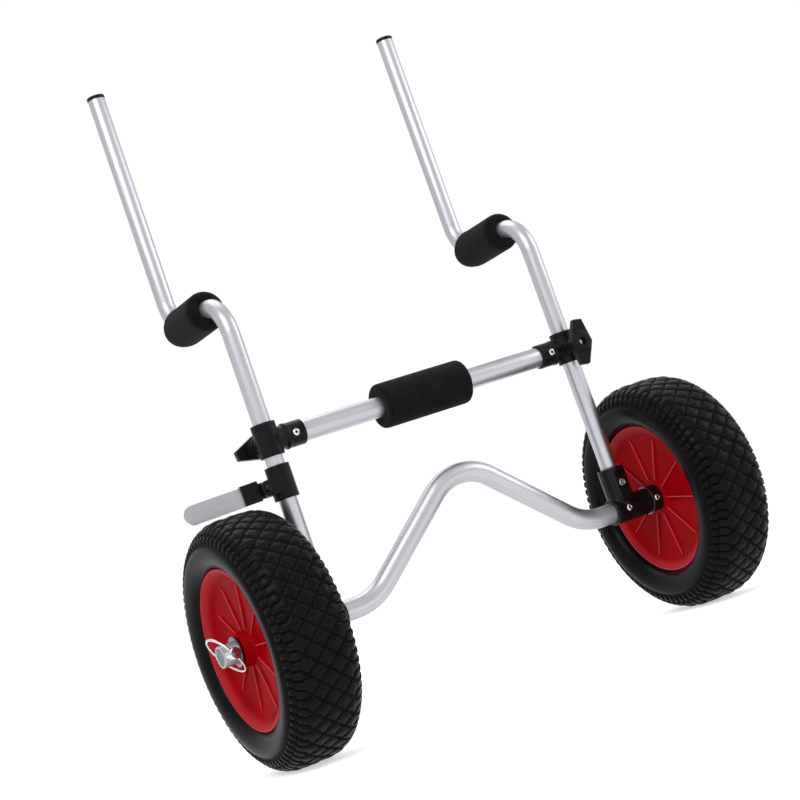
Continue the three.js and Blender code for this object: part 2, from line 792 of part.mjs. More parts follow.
/** The flat leg, with a round tongue at the pivot and a round tip, along -X from the pivot. */
function standLeg() {
  const half = standLegWidth / 2;
  const thick = standLegThickness / 2;
  const tipX = standLegLength - half;
  let body = solid(rod("y", standTongueRadius, -thick, thick));
  body = body.add(
    solid(block([-standPadStart - overrun, -thick, -standTongueRadius], [0, thick, standTongueRadius])),
  );
  body = body.add(solid(block([-tipX, -thick, -half], [-standPadStart, thick, half])));
  body = body.add(solid(rod("y", half, -thick, thick).translate(-tipX, 0, 0)));
  const bore = rod("y", standBoltRadius + gap, -thick - overrun, thick + overrun);
  return piece("kickstand_leg", body.subtract(solid(bore)), materials.stand);
}

/** The moulded pad that clips over the leg's root, on its front and upper edge. */
function standPad() {
  const half = standLegWidth / 2;
  const back = -standLegThickness / 2 - gap;
  const lip = half + gap + standPadLip;
  const face = back - standPadDepth;
  const front = block([-standPadEnd, face, -half], [-standPadStart, back, lip]);
  const top = block([-standPadEnd, face, half + gap], [-standPadStart, -back, lip]);
  return piece("kickstand_pad", solid(front).add(solid(top)), materials.nylon);
}

/** The kickstand on the left post, at its pivot's height. */
function kickstand() {
  const leg = new THREE.Group();
  leg.add(standLeg(), standPad());
  leg.position.x = -standPivotReach;
  leg.rotation.y = THREE.MathUtils.degToRad(-standLegDroopDegrees);
  const group = new THREE.Group();
  group.add(standCollar(), standBolt(), leg);
  group.position.z = standPivotZ;
  return group;
}

const bar = new THREE.Group();
bar.add(crossbar(), crossbarFoam());
bar.position.z = crossbarZ;

const leftPost = post("left", -1);
leftPost.add(kickstand());

const cart = new THREE.Group();
cart.add(axleTube(), bar, leftPost, post("right", 1));
cart.add(sideAssembly("left", true, leftKnobTurnDegrees));
cart.add(sideAssembly("right", false, rightKnobTurnDegrees));
cart.position.set(0, -depthCentre, tyreRadius);

const kayakCart = new THREE.Group();
kayakCart.add(cart);

export default kayakCart;
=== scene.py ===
"""Looks of a scupper cart for a sit-on-top kayak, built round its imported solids.

Lengths in the classes are millimetres in the axle's own coordinates: X runs along the axle and
Z up the posts, with zero on the axle between the posts. A settled piece is in metres in the
frame of the solids. The right-hand end is built, and the left-hand end is its half turn, apart
from the posts, which are built over the middle of the axle and moved to both ends.
"""
import logging
import math
from contextlib import contextmanager
from dataclasses import dataclass, field
from enum import Enum
from functools import partial
from typing import Any, Callable, Iterator, Optional, Sequence

import bpy
from mathutils import Matrix, Vector


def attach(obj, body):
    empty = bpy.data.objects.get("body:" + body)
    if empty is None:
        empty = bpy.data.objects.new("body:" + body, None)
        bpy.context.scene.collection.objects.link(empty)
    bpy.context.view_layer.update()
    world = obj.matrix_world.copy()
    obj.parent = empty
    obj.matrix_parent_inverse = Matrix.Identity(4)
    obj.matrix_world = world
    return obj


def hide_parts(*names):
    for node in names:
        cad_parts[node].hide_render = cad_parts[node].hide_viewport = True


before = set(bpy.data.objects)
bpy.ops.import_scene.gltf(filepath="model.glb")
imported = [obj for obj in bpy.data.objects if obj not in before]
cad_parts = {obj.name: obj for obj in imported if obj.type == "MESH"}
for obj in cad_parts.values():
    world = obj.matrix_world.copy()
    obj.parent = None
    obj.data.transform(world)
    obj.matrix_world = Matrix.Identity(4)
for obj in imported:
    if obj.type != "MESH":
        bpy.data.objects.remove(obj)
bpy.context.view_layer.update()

LOG = logging.getLogger("kayak_cart")
MM = 0.001  # a millimetre in the scene's metres
AXLE_PLACE = Vector((0.0, -12.5, 127.0))  # the axle's middle in the frame of the solids
POST_X = 186.7  # from the cart's middle to a post
BAR_Z = 185.95  # from the axle up to the crossbar
AXLE_BORE = 11.3  # of what the axle tube or the crossbar passes through
POST_BORE = 9.8  # of what a post passes through
GAP = 0.3  # left between two pieces that meet
DOUBLED = 0.002  # two vertices that are closer than this become one
BEND_STEP = 4.0  # degrees in one straight piece of a bend
ROUND = 64  # straight pieces in the full turn of a large round
Outline = list[tuple[float, ...]]
Place = Sequence[float]
Piece = bpy.types.Object
Model = Callable[[], Piece]
Socket = bpy.types.NodeSocket


class Side(Enum):
    """The end of the cart that a piece stands at."""

    LEFT = "left"
    RIGHT = "right"

    @property
    def sign(self) -> int:
        """The side's direction along the axle."""
        return -1 if self is Side.LEFT else 1


class Axis(Enum):
    """The line that a turned piece runs along, with the way out from it."""

    X = (Vector((1, 0, 0)), Vector((0, 0, 1)))
    Y = (Vector((0, 1, 0)), Vector((1, 0, 0)))
    Z = (Vector((0, 0, 1)), Vector((1, 0, 0)))


class Cut(Enum):
    """What a boolean does with its tool."""

    TAKE = "DIFFERENCE"
    ADD = "UNION"


# Making meshes


def clear_selection() -> None:
    """Deselects every object, so that an operator reaches only what is made next."""
    bpy.ops.object.select_all(action="DESELECT")


def only(piece: Piece) -> None:
    """Selects one object and makes it active."""
    clear_selection()
    piece.select_set(True)
    bpy.context.view_layer.objects.active = piece


@contextmanager
def editing() -> Iterator[None]:
    """Opens the active piece's mesh with all of it selected, and closes it again."""
    bpy.ops.object.mode_set(mode="EDIT")
    bpy.ops.mesh.select_all(action="SELECT")
    yield
    bpy.ops.object.mode_set(mode="OBJECT")


def fresh(name: str) -> Piece:
    """Names the primitive that was just added, with its place put in its mesh."""
    piece = bpy.context.active_object
    piece.name = name
    piece.data.name = name
    bpy.ops.object.transform_apply(location=True, rotation=True, scale=True)
    return piece


def apply_modifier(piece: Piece, kind: str, **settings: Any) -> None:
    """Adds a modifier to a piece and applies it.

    Args:
        piece: the object to change.
        kind: the modifier's type.
        settings: its properties.
    """
    only(piece)
    modifier = piece.modifiers.new(kind.title(), kind)
    for key, value in settings.items():
        setattr(modifier, key, value)
    bpy.ops.object.modifier_apply(modifier=modifier.name)


def break_edges(
    piece: Piece, width: float, segments: int, degrees: Optional[float] = None
) -> None:
    """Rounds a piece's edges.

    Args:
        piece: the object to change.
        width: the rounding.
        segments: straight pieces in the rounding.
        degrees: leaves the edges that are flatter than this. Without it every edge is rounded.
    """
    limit: dict[str, Any] = {"limit_method": "NONE"}
    if degrees is not None:
        limit = {"limit_method": "ANGLE", "angle_limit": math.radians(degrees)}
    apply_modifier(piece, "BEVEL", width=width * MM, segments=segments, **limit)


def mend(piece: Piece) -> None:
    """Merges doubled vertices and points every face outwards."""
    only(piece)
    with editing():
        bpy.ops.mesh.remove_doubles(threshold=DOUBLED * MM)
        bpy.ops.mesh.delete_loose()
        bpy.ops.mesh.select_all(action="SELECT")
        bpy.ops.mesh.normals_make_consistent(inside=False)


def combine(piece: Piece, tool: Piece, cut: Cut) -> None:
    """Joins or cuts a piece with a tool, which is then gone."""
    apply_modifier(piece, "BOOLEAN", object=tool, operation=cut.value, solver="EXACT")
    bpy.data.objects.remove(tool)


def rounded(outline: Outline, steps: int = 4) -> Outline:
    """Rounds the corners of a closed outline.

    Args:
        outline: points of (along, radius) or (along, radius, fillet).
        steps: straight pieces in each fillet.

    Returns:
        The outline with its fillets, as points of (along, radius).
    """
    result: Outline = []
    count = len(outline)
    for index, point in enumerate(outline):
        corner = Vector(point[:2])
        fillet = point[2] if len(point) > 2 else 0.0
        before = Vector(outline[index - 1][:2]) - corner
        after = Vector(outline[(index + 1) % count][:2]) - corner
        if not fillet:
            result.append((corner.x, corner.y))
            continue
        half = before.angle(after) / 2
        reach = min(fillet / math.tan(half), before.length * 0.48, after.length * 0.48)
        start = corner + before.normalized() * reach
        end = corner + after.normalized() * reach
        for step in range(steps + 1):
            share = step / steps
            bow = start * (1 - share) ** 2 + corner * 2 * share * (1 - share)
            bow += end * share**2
            result.append((bow.x, bow.y))
    return result


def turned(
    name: str, outline: Outline, axis: Axis, centre: Place = (0, 0, 0), steps: int = 72
) -> Piece:
    """Spins a closed outline right round a line.

    Args:
        name: the piece's name.
        outline: points of (along, radius), in order round the section.
        axis: the line.
        centre: a point on the line, where along is zero.
        steps: straight pieces in the full turn.

    Returns:
        The closed piece.
    """
    clear_selection()
    bpy.ops.mesh.primitive_circle_add(vertices=len(outline), radius=MM)
    piece = fresh(name)
    along, out = axis.value
    middle = Vector(centre)
    for vertex, point in zip(piece.data.vertices, outline):
        vertex.co = (middle + along * point[0] + out * point[1]) * MM
    with editing():
        bpy.ops.mesh.spin(steps=steps, angle=math.tau, center=middle * MM, axis=along)
    mend(piece)
    return piece


def rod(
    name: str, axis: Axis, radius: float, low: float, high: float,
    centre: Place = (0, 0, 0), fillet: float = 0.0, steps: int = 48,
) -> Piece:
    """Turns a plain rod with rounded ends.

    Args:
        name: the piece's name.
        axis: the line that it runs along.
        radius: its radius.
        low: where it starts along the line.
        high: where it ends.
        centre: where along is zero.
        fillet: the rounding of its ends.
        steps: straight pieces in the full turn.

    Returns:
        The rod.
    """
    outline = [(low, 0), (high, 0), (high, radius, fillet), (low, radius, fillet)]
    return turned(name, rounded(outline), axis, centre, steps)


def carve(
    piece: Piece, outline: Outline, axis: Axis, centre: Place = (0, 0, 0), steps: int = 48
) -> None:
    """Cuts out of a piece the shape that turned() makes of the other arguments."""
    combine(piece, turned("tool", outline, axis, centre, steps), Cut.TAKE)


def drill(
    piece: Piece, axis: Axis, radius: float, low: float, high: float,
    centre: Place = (0, 0, 0), steps: int = 48,
) -> None:
    """Cuts out of a piece the rod that rod() makes of the other arguments."""
    combine(piece, rod("tool", axis, radius, low, high, centre, 0, steps), Cut.TAKE)


def bar(name: str, low: Place, high: Place, round_off: float = 0.0) -> Piece:
    """Adds a bar between two corners, with its edges rounded.

    Args:
        name: the piece's name.
        low: the lowest corner.
        high: the highest corner.
        round_off: the rounding of its edges.

    Returns:
        The bar.
    """
    start, end = Vector(low), Vector(high)
    clear_selection()
    bpy.ops.mesh.primitive_cube_add(
        size=1, location=(start + end) / 2 * MM, scale=(end - start) * MM
    )
    piece = fresh(name)
    if round_off:
        break_edges(piece, round_off, 3)
    return piece


def fused(parts: Sequence[Piece], voxel: float, passes: int) -> Piece:
    """Melts shells that pass through each other into one moulded skin with soft inner corners.

    Args:
        parts: the shells. The first one names the result.
        voxel: the grid's size.
        passes: how often the skin is smoothed.

    Returns:
        The one skin.
    """
    only(parts[0])
    for part in parts[1:]:
        part.select_set(True)
    bpy.ops.object.join()
    piece = bpy.context.active_object
    apply_modifier(piece, "REMESH", mode="VOXEL", voxel_size=voxel * MM)
    apply_modifier(piece, "SMOOTH", factor=0.5, iterations=passes)
    return piece


def store(piece: Piece, name: str, values: Sequence[float], kind: str = "FLOAT") -> None:
    """Stores a number or a place at each vertex under a name, for a material to read."""
    layer = piece.data.attributes.new(name, kind, "POINT")
    layer.data.foreach_set("value" if kind == "FLOAT" else "vector", values)


def smooth(piece: Piece, degrees: float) -> None:
    """Shades a piece smooth, apart from edges sharper than an angle."""
    only(piece)
    bpy.ops.object.shade_smooth_by_angle(angle=math.radians(degrees))


def blend_step(low: float, high: float, value: float) -> float:
    """Rises smoothly from 0 at low to 1 at high."""
    share = min(max((value - low) / (high - low), 0.0), 1.0)
    return share * share * (3 - 2 * share)


# Finishes


def linear(code: str) -> tuple[float, float, float, float]:
    """Turns an sRGB hex colour to the linear one that a shader takes."""
    shades = [int(code[i : i + 2], 16) / 255 for i in (1, 3, 5)]
    red, green, blue = [
        s / 12.92 if s <= 0.04045 else ((s + 0.055) / 1.055) ** 2.4 for s in shades
    ]
    return red, green, blue, 1.0


def per_mm(size: float) -> float:
    """The scale of a pattern whose features are a number of millimetres apart."""
    return 1000.0 / size


class Nodes:
    """The node tree of a material or of the world, with short ways to add to it."""

    def __init__(self, tree: bpy.types.NodeTree) -> None:
        """Takes a tree, and its surface shader where it has one."""
        self.tree = tree
        self.shader = tree.nodes.get("Principled BSDF")

    def add(
        self, kind: str, settings: Optional[dict[Any, Any]] = None,
        links: Optional[dict[Any, Socket]] = None,
    ) -> bpy.types.Node:
        """Adds a node with its settings and links.

        Args:
            kind: the node's type, after what every type starts with.
            settings: a property for a name that starts with a dot, and otherwise an input's value.
            links: the output that feeds each input.

        Returns:
            The node.
        """
        node = self.tree.nodes.new(f"ShaderNode{kind}")
        for key, value in (settings or {}).items():
            if isinstance(key, str) and key.startswith("."):
                setattr(node, key[1:], value)
            else:
                node.inputs[key].default_value = value
        for key, source in (links or {}).items():
            self.tree.links.new(source, node.inputs[key])
        return node

    def feed(self, name: str, source: Socket) -> None:
        """Feeds one of the surface's inputs."""
        self.tree.links.new(source, self.shader.inputs[name])

    def place(self) -> Socket:
        """The object's own coordinates."""
        return self.add("TexCoord").outputs["Object"]

    def stored(self, name: str, output: str = "Fac") -> Socket:
        """What a piece stores at its vertices under a name."""
        return self.add("Attribute", {".attribute_name": name}).outputs[output]

    def mapped(self, source: Socket, setting: str, value: Place) -> Socket:
        """Coordinates that are moved or stretched."""
        return self.add("Mapping", {setting: value}, {"Vector": source}).outputs["Vector"]

    def noise(self, size: float, detail: float = 2.0, source: Optional[Socket] = None) -> Socket:
        """A cloudy pattern.

        Args:
            size: the distance between clouds, in millimetres.
            detail: how many finer layers it has.
            source: coordinates to use in place of the object's own.

        Returns:
            The pattern's height.
        """
        settings = {"Scale": per_mm(size), "Detail": detail}
        links = {"Vector": self.place() if source is None else source}
        return self.add("TexNoise", settings, links).outputs["Fac"]

    def two_tone(
        self, share: Socket, low: str, high: str, span: tuple[float, float] = (0.35, 0.65)
    ) -> Socket:
        """Mixes two colours by a share that is first stretched between two levels.

        Args:
            share: the number that picks the colour.
            low: the hex colour at the lower level.
            high: the hex colour at the upper level.
            span: the two levels.

        Returns:
            The colour.
        """
        ramp = self.add("ValToRGB", None, {"Fac": share})
        for index, code in enumerate((low, high)):
            ramp.color_ramp.elements[index].position = span[index]
            ramp.color_ramp.elements[index].color = linear(code)
        return ramp.outputs["Color"]

    def laid_over(self, base: Socket, share: Socket, code: str) -> Socket:
        """Lays a hex colour over another colour, as far as a share says."""
        settings = {".data_type": "RGBA", 7: linear(code)}
        return self.add("Mix", settings, {0: share, 6: base}).outputs[2]

    def ranged(
        self, share: Socket, source: tuple[float, float], target: tuple[float, float]
    ) -> Socket:
        """Stretches a number from one range to another."""
        names = ("From Min", "From Max", "To Min", "To Max")
        settings = dict(zip(names, source + target))
        return self.add("MapRange", settings, {"Value": share}).outputs["Result"]

    def maths(self, how: str, settings: dict[int, float], links: dict[int, Socket]) -> Socket:
        """Reckons with numbers: an operation on set values and on outputs."""
        return self.add("Math", {".operation": how, **settings}, links).outputs["Value"]

    def gloss(self, share: Socket, low: float, high: float) -> None:
        """Lets the roughness change between two levels with a pattern."""
        self.feed("Roughness", self.ranged(share, (0.3, 0.7), (low, high)))

    def bump(self, height: Socket, depth: float, strength: float) -> None:
        """Raises the surface by a pattern's height, over a depth in millimetres."""
        settings = {"Distance": depth * MM, "Strength": strength}
        self.feed("Normal", self.add("Bump", settings, {"Height": height}).outputs["Normal"])


@dataclass(frozen=True)
class Look:
    """A material, and the name of the slot that it is meant for."""

    slot: str
    material: bpy.types.Material


@dataclass(frozen=True)
class Finish:
    """What a surface is made of and how it was made."""

    name: str
    slot: str
    colour: str
    roughness: float
    metallic: float = 0.0
    specular: float = 0.5  # lower where a rough skin shadows its own gloss
    ior: float = 1.5

    def build(self) -> Look:
        """Makes the material, with the numbers that are the same all over on the shader."""
        material = bpy.data.materials.new(self.name)
        material.use_nodes = True
        nodes = Nodes(material.node_tree)
        for name, value in (
            ("Base Color", linear(self.colour)), ("Roughness", self.roughness),
            ("Metallic", self.metallic), ("IOR", self.ior), ("Specular IOR Level", self.specular),
        ):
            nodes.shader.inputs[name].default_value = value
        self.pattern(nodes)
        return Look(self.slot, material)

    def pattern(self, nodes: Nodes) -> None:
        """Adds what varies over the surface."""


@dataclass(frozen=True)
class DrawnAluminium(Finish):
    """Aluminium tube, drawn through a die and anodised: a satin metal with faint lines that
    run along it, read from the straightened place that each tube stores at its vertices."""

    dark: str = "#AAACB1"
    light: str = "#B6B8BD"
    line: float = 1.4  # drawn coarser than the real die lines, so that they show

    def pattern(self, nodes: Nodes) -> None:
        """Adds the die lines and the slow change of gloss of the anodised skin."""
        lines = nodes.mapped(nodes.stored("Run", "Vector"), "Scale", (1.0, 1.0, 0.012))
        streak = nodes.noise(self.line, 3.0, lines)
        nodes.feed("Base Color", nodes.two_tone(streak, self.dark, self.light))
        nodes.gloss(nodes.noise(40.0), 0.36, 0.41)


@dataclass(frozen=True)
class PlatedSteel(Finish):
    """Zinc-plated steel: bright, with the soft grey clouds of the plating bath."""

    dark: str = "#B4B7BB"
    light: str = "#D8DADC"

    def pattern(self, nodes: Nodes) -> None:
        """Adds the plating's clouds and its fine handling marks."""
        cloud = nodes.noise(2.5, 4.0)
        nodes.feed("Base Color", nodes.two_tone(cloud, self.dark, self.light))
        nodes.gloss(cloud, self.roughness - 0.06, self.roughness + 0.08)
        nodes.bump(nodes.noise(0.7), 0.01, 0.3)


@dataclass(frozen=True)
class TurnedSteel(Finish):
    """A stamped washer's face: fine rings round the axle, which catch the light as a sweep."""

    ring: float = 0.8

    def pattern(self, nodes: Nodes) -> None:
        """Adds rings centred on the axle."""
        centred = nodes.mapped(nodes.place(), "Location", tuple(-AXLE_PLACE * MM))
        settings = {
            ".wave_type": "RINGS", ".rings_direction": "X",
            "Scale": per_mm(self.ring) / math.tau, "Distortion": 0.4,
        }
        rings = nodes.add("TexWave", settings, {"Vector": centred}).outputs["Fac"]
        nodes.bump(rings, 0.02, 0.4)
        nodes.gloss(nodes.noise(3.0), 0.2, 0.36)


@dataclass(frozen=True)
class MouldedNylon(Finish):
    """Glass-filled nylon from a spark-eroded mould: near black, with a fine even grain, a soft
    sheen, and edges rubbed paler."""

    rubbed: str = "#4A4A4E"
    edges: tuple[float, float] = (0.53, 0.62)  # how pointed a place is where the wear shows
    wear: float = 0.55
    grain: float = 0.55
    depth: float = 0.05

    def pattern(self, nodes: Nodes) -> None:
        """Adds the mould's grain, slow colour clouds and the paler edges."""
        pointed = nodes.add("NewGeometry").outputs["Pointiness"]
        worn = nodes.ranged(pointed, self.edges, (0.0, self.wear))
        cloud = nodes.noise(14.0, 3.0)
        base = nodes.two_tone(cloud, self.colour, self.lighter())
        nodes.feed("Base Color", nodes.laid_over(base, worn, self.rubbed))
        nodes.gloss(cloud, self.roughness - 0.05, self.roughness + 0.07)
        nodes.bump(nodes.noise(self.grain), self.depth, 0.5)

    def lighter(self) -> str:
        """The colour of the paler clouds."""
        shades = [min(int(self.colour[i : i + 2], 16) + 7, 255) for i in (1, 3, 5)]
        return "#" + "".join(f"{shade:02X}" for shade in shades)


@dataclass(frozen=True)
class CellFoam(Finish):
    """Closed-cell rubber foam, cut and skinned: a matt, slightly dusty black with open cells."""

    dusty: str = "#151517"
    cell: float = 1.1  # coarser than the real half-millimetre cells, so that they show

    def pattern(self, nodes: Nodes) -> None:
        """Adds the cells, larger soft dents and the dusty bloom."""
        nodes.shader.inputs["Sheen Weight"].default_value = 0.04
        nodes.shader.inputs["Sheen Roughness"].default_value = 0.6
        scale = {"Scale": per_mm(self.cell)}
        cells = nodes.add("TexVoronoi", scale, {"Vector": nodes.place()}).outputs["Distance"]
        bloom = nodes.noise(11.0, 5.0)
        nodes.feed("Base Color", nodes.two_tone(bloom, self.colour, self.dusty, (0.3, 0.75)))
        total = nodes.maths("MULTIPLY_ADD", {1: 0.35}, {0: cells, 2: nodes.noise(5.0)})
        nodes.bump(total, 0.5, 0.5)


@dataclass(frozen=True)
class TreadRubber(Finish):
    """Moulded tyre rubber: black, with a soft gloss on the block tops, dull in the grooves and
    painted darker there as shade, by the depth that each tyre stores at its vertices."""

    # the painted shade laid into the grooves
    groove: str = "#040405"
    bloom: str = "#0E0E10"

    def pattern(self, nodes: Nodes) -> None:
        """Paints shade into the grooves and dulls them, and adds the rubber's bloom and mould
        grain.
        """
        depth = nodes.stored("Tread")
        base = nodes.two_tone(nodes.noise(16.0, 5.0), self.colour, self.bloom, (0.35, 0.8))
        # the grooves are painted darker, as shade, as far as their stored depth says
        nodes.feed("Base Color", nodes.laid_over(base, depth, self.groove))
        nodes.feed("Roughness", nodes.ranged(depth, (0.0, 1.0), (self.roughness, 0.85)))
        nodes.bump(nodes.noise(1.1, 4.0), 0.12, 0.5)


@dataclass(frozen=True)
class RimPlastic(Finish):
    """Injection-moulded polypropylene, dyed red right through: a soft gloss, flow clouds, and
    a painted highlight on the thin rib tops and the lip, where each rim stores it."""

    deep: str = "#8F0006"
    # the colour of the painted highlight on the rib tops and the lip
    pale: str = "#D24A52"

    def pattern(self, nodes: Nodes) -> None:
        """Adds the flow clouds, the painted highlight on the rib tops and the lip, and a faint
        mould grain.
        """
        cloud = nodes.noise(22.0, 3.0)
        base = nodes.two_tone(cloud, self.deep, self.colour, (0.3, 0.7))
        # lays the painted highlight over the rib tops and the lip
        nodes.feed("Base Color", nodes.laid_over(base, nodes.stored("painted_highlight"), self.pale))
        nodes.gloss(cloud, self.roughness, self.roughness + 0.1)
        nodes.bump(nodes.noise(0.8), 0.03, 0.3)


@dataclass(frozen=True)
class BrushedBar(Finish):
    """Flat aluminium bar, brushed along its length and clear anodised: an even mid grey."""

    light: str = "#A8AAAF"

    def pattern(self, nodes: Nodes) -> None:
        """Adds brush lines along the bar."""
        lines = nodes.mapped(nodes.place(), "Scale", (0.03, 1.0, 1.0))
        streak = nodes.noise(0.8, 3.0, lines)
        nodes.feed("Base Color", nodes.two_tone(streak, self.colour, self.light))
        nodes.bump(streak, 0.006, 0.3)


class Looks:
    """The looks of the cart's pieces, each made once."""

    def __init__(self) -> None:
        """Builds every finish."""
        self.tube = DrawnAluminium(
            "satin_anodised_aluminium_tube", "aluminium_tube", "#A9ABB0", 0.3, 1.0
        ).build()
        self.steel = PlatedSteel("zinc_plated_steel", "bright_steel", "#C9CCCF", 0.22, 1.0).build()
        # The washers take a darker copy of the bright steel: painted shade for washers that sit
        # between other parts.
        self.washer = TurnedSteel(
            "stamped_steel_washer", "bright_steel", "#75767A", 0.36, 1.0
        ).build()
        black = partial(MouldedNylon, slot="black_nylon", rubbed="#2A2A2D")
        self.nylon = black(
            "moulded_black_nylon", colour="#0D0D0F", roughness=0.34, specular=0.11
        ).build()
        self.satin = black(
            "satin_black_nylon", colour="#0C0C0E", roughness=0.28, specular=0.17, grain=0.8
        ).build()
        self.vinyl = black(
            "dipped_black_vinyl", colour="#0B0B0C", roughness=0.32, specular=0.11
        ).build()
        self.plug = MouldedNylon(
            "grey_moulded_plug", "grey_plug", "#66707B", 0.45, rubbed="#A4ABB3"
        ).build()
        self.foam = CellFoam(
            "closed_cell_foam", "black_foam", "#0B0B0C", 0.9, specular=0.05
        ).build()
        self.rubber = TreadRubber("tread_rubber", "tyre", "#060607", 0.3, specular=0.07).build()
        self.rim = RimPlastic(
            "red_polypropylene", "red_rim", "#A00008", 0.38, specular=0.03
        ).build()
        self.black_steel = PlatedSteel(
            "blackened_steel", "black_steel", "#232427", 0.38, 1.0, dark="#1B1C1E", light="#2A2B2E"
        ).build()
        self.leg = BrushedBar("anodised_flat_bar", "stand_grey", "#9FA1A6", 0.42, 0.8).build()


# Placing pieces


def settle(
    piece: Piece, body: str, look: Look, nodes: Sequence[str],
    side: Side = Side.RIGHT, sharp: float = 35.0,
) -> None:
    """Args:
        piece: the mesh, built for the right-hand end.
        body: the body that it moves with.
        look: its material and slot.
        nodes: the solids that it replaces.
        side: the end that it stands at.
        sharp: the angle over which an edge stays sharp, in degrees.
    """
    place = Matrix.Translation(AXLE_PLACE * MM)
    if side is Side.LEFT:
        place = place @ Matrix.Rotation(math.pi, 4, "Z")
    piece.data.transform(place)
    smooth(piece, sharp)
    piece.data.materials.clear()
    piece.data.materials.append(look.material)
    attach(piece, body)
    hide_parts(*nodes)
    LOG.info("%s: %d faces on %s", piece.name, len(piece.data.polygons), body)


@dataclass(frozen=True)
class Twin:
    """A piece that both ends of the cart have."""

    label: str
    model: Model
    body: str  # the frame, or a body's name without its end
    look: Look
    nodes: tuple[str, ...]
    sharp: float = 35.0


class Workshop:
    """The cart's looks, and the master of each repeated piece, which is modelled once."""

    def __init__(self) -> None:
        """Makes the looks. A master is made when its piece is first asked for."""
        self.looks = Looks()
        self.masters: dict[str, bpy.types.Mesh] = {}

    def copy_of(self, side: Side, label: str, model: Model) -> Piece:
        """Gives one end of the cart its own copy of a piece.

        Args:
            side: the end.
            label: the piece's name without its end.
            model: builds the piece, and is called only the first time.

        Returns:
            A new object with a mesh of its own.
        """
        if label not in self.masters:
            first = model()
            self.masters[label] = first.data
            bpy.data.objects.remove(first)
        piece = bpy.data.objects.new(f"{side.value}_{label}", self.masters[label].copy())
        piece.data.name = piece.name
        bpy.context.collection.objects.link(piece)
        return piece

    def at_post(self, side: Side, label: str, model: Model) -> Piece:
        """Copies a piece that is built over the middle of the axle, and moves it to a post.

        Args:
            side: the post.
            label: the piece's name without its end.
            model: builds the piece, and is called only the first time.

        Returns:
            The copy, still in the axle's coordinates.
        """
        piece = self.copy_of(side, label, model)
        piece.data.transform(Matrix.Translation((side.sign * POST_X * MM, 0, 0)))
        return piece

    def fit(self, side: Side, *twins: Twin) -> None:
        """Copies pieces to one end of the cart and settles them there.

        Args:
            side: the end.
            twins: the pieces.
        """
        for twin in twins:
            piece = self.copy_of(side, twin.label, twin.model)
            body = twin.body if twin.body == "frame" else f"{side.value}_{twin.body}"
            nodes = [f"{side.value}_{node}" for node in twin.nodes]
            settle(piece, body, twin.look, nodes, side, twin.sharp)

    def clear(self) -> None:
        """Drops the masters once every copy is made."""
        for mesh in self.masters.values():
            bpy.data.meshes.remove(mesh)
        self.masters.clear()


# Bent tubes


@dataclass(frozen=True)
class Leg:
    """A straight run or a round bend of a tube's centre line."""

    start: Vector
    direction: Vector
    length: float
    centre: Optional[Vector] = None
    axle: Optional[Vector] = None
    turn: float = 0.0

    def nearest(self, point: Vector) -> tuple[float, Vector, Vector]:
        """Finds the place on this leg that is nearest to a point.

        Args:
            point: any place.

        Returns:
            How far along the leg it is, the place, and the way that the leg runs there.
        """
        if self.centre is None:
            along = min(max((point - self.start).dot(self.direction), 0.0), self.length)
            return along, self.start + self.direction * along, self.direction
        spoke = self.start - self.centre
        side = self.axle.cross(spoke)
        offset = point - self.centre
        angle = math.atan2(offset.dot(side), offset.dot(spoke))
        angle = min(max(angle, 0.0), self.turn)
        turned_spoke = spoke * math.cos(angle) + side * math.sin(angle)
        heading = self.axle.cross(turned_spoke).normalized()
        return angle * spoke.length, self.centre + turned_spoke, heading


